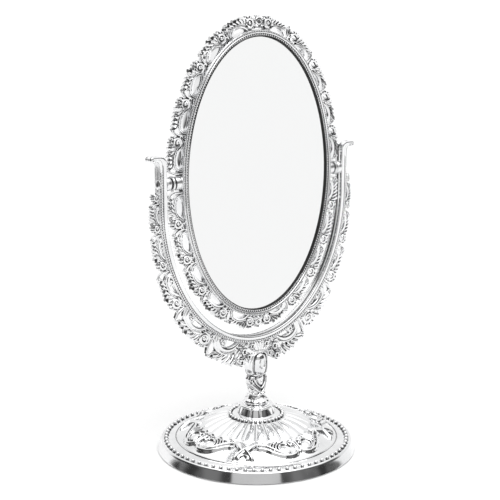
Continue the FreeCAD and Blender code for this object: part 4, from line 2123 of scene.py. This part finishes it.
        def place(uv: np.ndarray) -> np.ndarray:
            """Skin of the stem at one height and angle from the front.

            Args:
                uv: Shares along the grid's two sides, from 0 to 1.

            Returns:
                Points in millimetres.
            """
            z = low + (top + 0.9 - low) * uv[:, 1]
            angle = uv[:, 0] * math.tau
            a = np.interp(z, stops, wide)
            b = np.interp(z, stops, deep)
            face = np.clip(np.abs(np.cos(angle)) * 2.2, 0.0, 1.0)
            raised = emboss.at(np.abs(a * np.sin(angle)), z) * face
            petal = 0.8 * (np.abs(np.cos(angle * 4.0)) - 0.5) * np.clip((37.4 - z) / 2.0, 0.0, 1.0)
            petal = petal * np.clip((z - low) / 0.6, 0.0, 1.0)
            x = (a + petal + raised * np.abs(np.sin(angle)) * 0.5) * np.sin(angle)
            y = -(b + petal + raised) * np.cos(angle)
            return xyz(x, y, z)

        return Bench.cap(Bench.sheet(name, 200, 190, place))

    def make(self, finishes: Finishes) -> list[bpy.types.Object]:
        """Builds and dresses collar and stem.

        Args:
            finishes: The object's finishes.

        Returns:
            The finished pieces.
        """
        rows = (
            (self.collar("lobed_collar"), "base_collar", "plated_shell", None),
            # The stem takes the plating with heavier painted shade in its crevices.
            (self.body("cast_stem"), "stem", "plated_casting", finishes.shaded_relief),
        )
        return [
            hand_over(piece, Body.STAND, node, finishes, slot, self.smooth_degrees, finish)
            for piece, node, slot, finish in rows
        ]


# --------------------------------------------------------------------------- pivots


@dataclass(frozen=True)
class Turning:
    """One turned piece of a pivot, in radii and distances from its own two ends."""

    node: str
    body: Body
    near: Corners
    far: Corners

    def outline(self, low: float, high: float) -> list[tuple[float, float]]:
        """Radius and distance from the centre line of each corner.

        Args:
            low: Where the piece starts.
            high: Where it ends.

        Returns:
            The corners, from the axis round to the axis.
        """
        start = [(radius, low + step) for radius, step in self.near]
        return start + [(radius, high - step) for radius, step in self.far]


BARREL = Turning(
    "pivot_barrel",
    Body.MIRROR,
    near=(
        (0.0, 0.0), (3.9, 0.0), (4.35, 0.4), (4.55, 1.2), (4.55, 3.4), (4.3, 4.2), (3.4, 4.6),
        (3.4, 5.1), (4.5, 5.4), (5.0, 5.9), (5.0, 6.5),
    ),
    far=((4.6, 0.1), (2.2, 0.0), (2.2, 1.0), (0.0, 1.0)),
)
BUSH = Turning(
    "pivot_bush",
    Body.STAND,
    near=((0.0, 0.0), (3.7, 0.0), (4.2, 0.3), (4.5, 0.9), (4.6, 1.6)),
    far=((4.6, 1.0), (4.4, 0.4), (4.1, 0.0), (0.0, 0.0)),
)
SCREW = Turning(
    "pivot_screw",
    Body.STAND,
    near=((0.0, 0.0), (1.7, 0.0), (2.0, 0.3)),
    far=(
        (2.0, 2.0), (3.3, 2.0), (3.3, 0.9), (3.3 - 0.35, 0.45), (3.3 - 1.0, 0.15), (1.4, 0.0),
        (1.2, 0.7), (0.0, 0.9),
    ),
)


@dataclass
class Pivot:
    """What carries the head on one arm: barrel, bush and screw."""

    side: Side
    pivot_z: float
    steps: int = 40
    smooth_degrees: float = 35.0

    def span(self, node: str) -> tuple[float, float]:
        """Distances from the centre line between which a node lies."""
        low, high = sorted(abs(corner.x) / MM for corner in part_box(node))
        return low, high

    def along_axis(self, co: np.ndarray) -> np.ndarray:
        """Lays a piece that was turned about Z along the tilt axis."""
        return xyz(self.side.value * co[:, 2], co[:, 0], self.pivot_z + co[:, 1])

    def make(self, finishes: Finishes) -> list[bpy.types.Object]:
        """Builds and dresses the pieces of one pivot.

        Args:
            finishes: The object's finishes.

        Returns:
            The finished pieces.
        """
        word = self.side.name.lower()
        made = []
        for turning in (BARREL, BUSH, SCREW):
            node = f"{turning.node}_{word}"
            outline = turning.outline(*self.span(node))
            piece = Bench.turned(f"{turning.node}_turned_{word}", outline, self.steps)
            Bench.shape(piece, self.along_axis)
            made.append(
                hand_over(piece, turning.body, node, finishes, "plated_pivot", self.smooth_degrees)
            )
        return made


# --------------------------------------------------------------------------- studio



@dataclass(frozen=True)
class Studio:
    """White floor, white surround with dark flags that only reflections see, and the camera."""

    azimuth_degrees: float = -38.1
    distance: float = 0.7386
    camera_z: float = 0.2919
    target_side: float = -0.00442
    target_z: float = 0.1427
    lens: float = 78.62
    floor_reach: float = 150.0
    floor_left: float = 0.6
    white: float = 0.98
    ceiling: float = 1.3
    flag: float = 0.04
    flag_glow: float = 0.14
    card_dimming: float = 0.38
    backdrop_lift: float = 0.15
    card_edge: tuple[float, float] = (0.87, 0.9)
    horizon: tuple[float, float] = (-0.01, 0.03)
    flag_top: tuple[float, float] = (0.5, 0.62)
    sun_degrees: float = 60.0
    sun_energy: float = 1.2

    def floor(self) -> None:
        """Wide pale floor that ends a little to the left, where the flags stand."""
        bpy.ops.object.select_all(action="DESELECT")
        bpy.ops.mesh.primitive_plane_add(size=2.0)
        floor = Bench.started("floor")
        reach = self.floor_reach
        middle = np.array([reach - self.floor_left, 0.0, 0.0])
        Bench.shape(floor, lambda co: co * reach + middle)
        material = bpy.data.materials.new("floor_white")
        graph = Graph(material)
        graph.surface(
            {"Base Color": (0.87, 0.87, 0.87, 1.0), "Roughness": 0.9, "Specular IOR Level": 0.0}
        )
        floor.data.materials.append(material)

    def surround(self) -> None:
        """World light: white all round, with dark flags beside the camera for reflections."""
        world = bpy.data.worlds.new("studio")
        bpy.context.scene.world = world
        graph = Graph(world)
        direction = graph.node("ShaderNodeTexCoord", output="Generated")
        parts = graph.tree.nodes.new("ShaderNodeSeparateXYZ")
        graph.tree.links.new(direction.output, parts.inputs[0])
        x, y, z = (Socket(graph, parts.outputs[index]) for index in range(3))
        angle = math.radians(self.azimuth_degrees)
        level = (x * x + y * y + 1e-6).root()
        facing = (x * math.sin(angle) - y * math.cos(angle)) / level
        across = (x * math.cos(angle) + y * math.sin(angle)) / level
        ahead = facing.step(*self.card_edge)
        raised = z.step(*self.horizon)
        below_top = 1.0 - z.step(*self.flag_top)
        beside = (1.0 - ahead) * facing.step(-0.45, -0.3)
        left = 1.0 - across.step(-0.3, -0.1)
        upper = raised * below_top * beside
        high = z.step(0.45, 0.55) * (1.0 - z.step(0.68, 0.82)) * left * beside
        behind = (1.0 - ahead) * facing.step(-0.85, -0.7)
        lower = (1.0 - raised) * left * behind
        seen = graph.node("ShaderNodeLightPath", output="Is Camera Ray")
        dark = upper.biggest(lower).biggest(high) * (1.0 - seen)
        card = ahead * below_top * (1.0 - seen)
        sky = self.white + z.step(0.6, 0.85) * (self.ceiling - self.white)
        cloud = graph.node(
            "ShaderNodeTexNoise", None, {"Vector": direction, "Scale": 2.6, "Detail": 1.0}, "Fac"
        )
        flag = self.flag + cloud.step(0.4, 0.7) * self.flag_glow
        strength = sky - dark * (
            self.white - flag
        ) - card * self.card_dimming + seen * self.backdrop_lift
        back = graph.node(
            "ShaderNodeBackground",
            None,
            {"Color": (1.0, 1.0, 1.0, 1.0), "Strength": strength},
            "Background",
        )
        graph.node("ShaderNodeOutputWorld", None, {"Surface": back})

    def lamp(self) -> None:
        """Wide soft light from above."""
        bpy.ops.object.select_all(action="DESELECT")
        bpy.ops.object.light_add(type="SUN", location=(-0.25, -0.35, 1.5))
        lamp = bpy.context.object
        lamp.name = "soft_lamp"
        lamp.data.angle = math.radians(self.sun_degrees)
        lamp.data.energy = self.sun_energy
        lamp.rotation_euler = (
            Vector((0.0, 0.0, 0.15)) - lamp.location
        ).to_track_quat("-Z", "Y").to_euler()

    def camera(self) -> None:
        """Camera that looks a little down on the front from the left."""
        angle = math.radians(self.azimuth_degrees)
        place = Vector(
            (math.sin(angle) * self.distance, -math.cos(angle) * self.distance, self.camera_z)
        )
        target = Vector(
            (math.cos(angle) * self.target_side, math.sin(angle) * self.target_side, self.target_z)
        )
        bpy.ops.object.camera_add(location=place)
        camera = bpy.context.object
        camera.rotation_euler = (target - place).to_track_quat("-Z", "Y").to_euler()
        camera.data.lens = self.lens
        camera.data.clip_end = 200.0
        bpy.context.scene.camera = camera

    def set_up(self) -> None:
        """Builds the whole studio."""
        self.floor()
        self.surround()
        self.lamp()
        self.camera()
        bpy.context.scene.view_settings.view_transform = "Standard"


def main() -> None:
    """Builds the studio and every piece, and reports them."""
    logging.basicConfig(level=logging.INFO, format="%(name)s: %(message)s")
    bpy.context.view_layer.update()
    Studio().set_up()
    finishes = Finishes()
    finishes.dress_nodes(frame["record"], frame["nodes"])
    head = MirrorHead.from_frame()
    groups = [Foot.from_frame(), Stem.from_frame(), Yoke.from_frame(), head]
    groups += [Pivot(side, head.pivot_z) for side in Side]
    for group in groups:
        for piece in group.make(finishes):
            triangles = sum(len(face.vertices) - 2 for face in piece.data.polygons)
            LOG.info("%s: %d triangles", piece.name, triangles)
    bpy.context.view_layer.update()


if __name__ == "__main__":
    main()
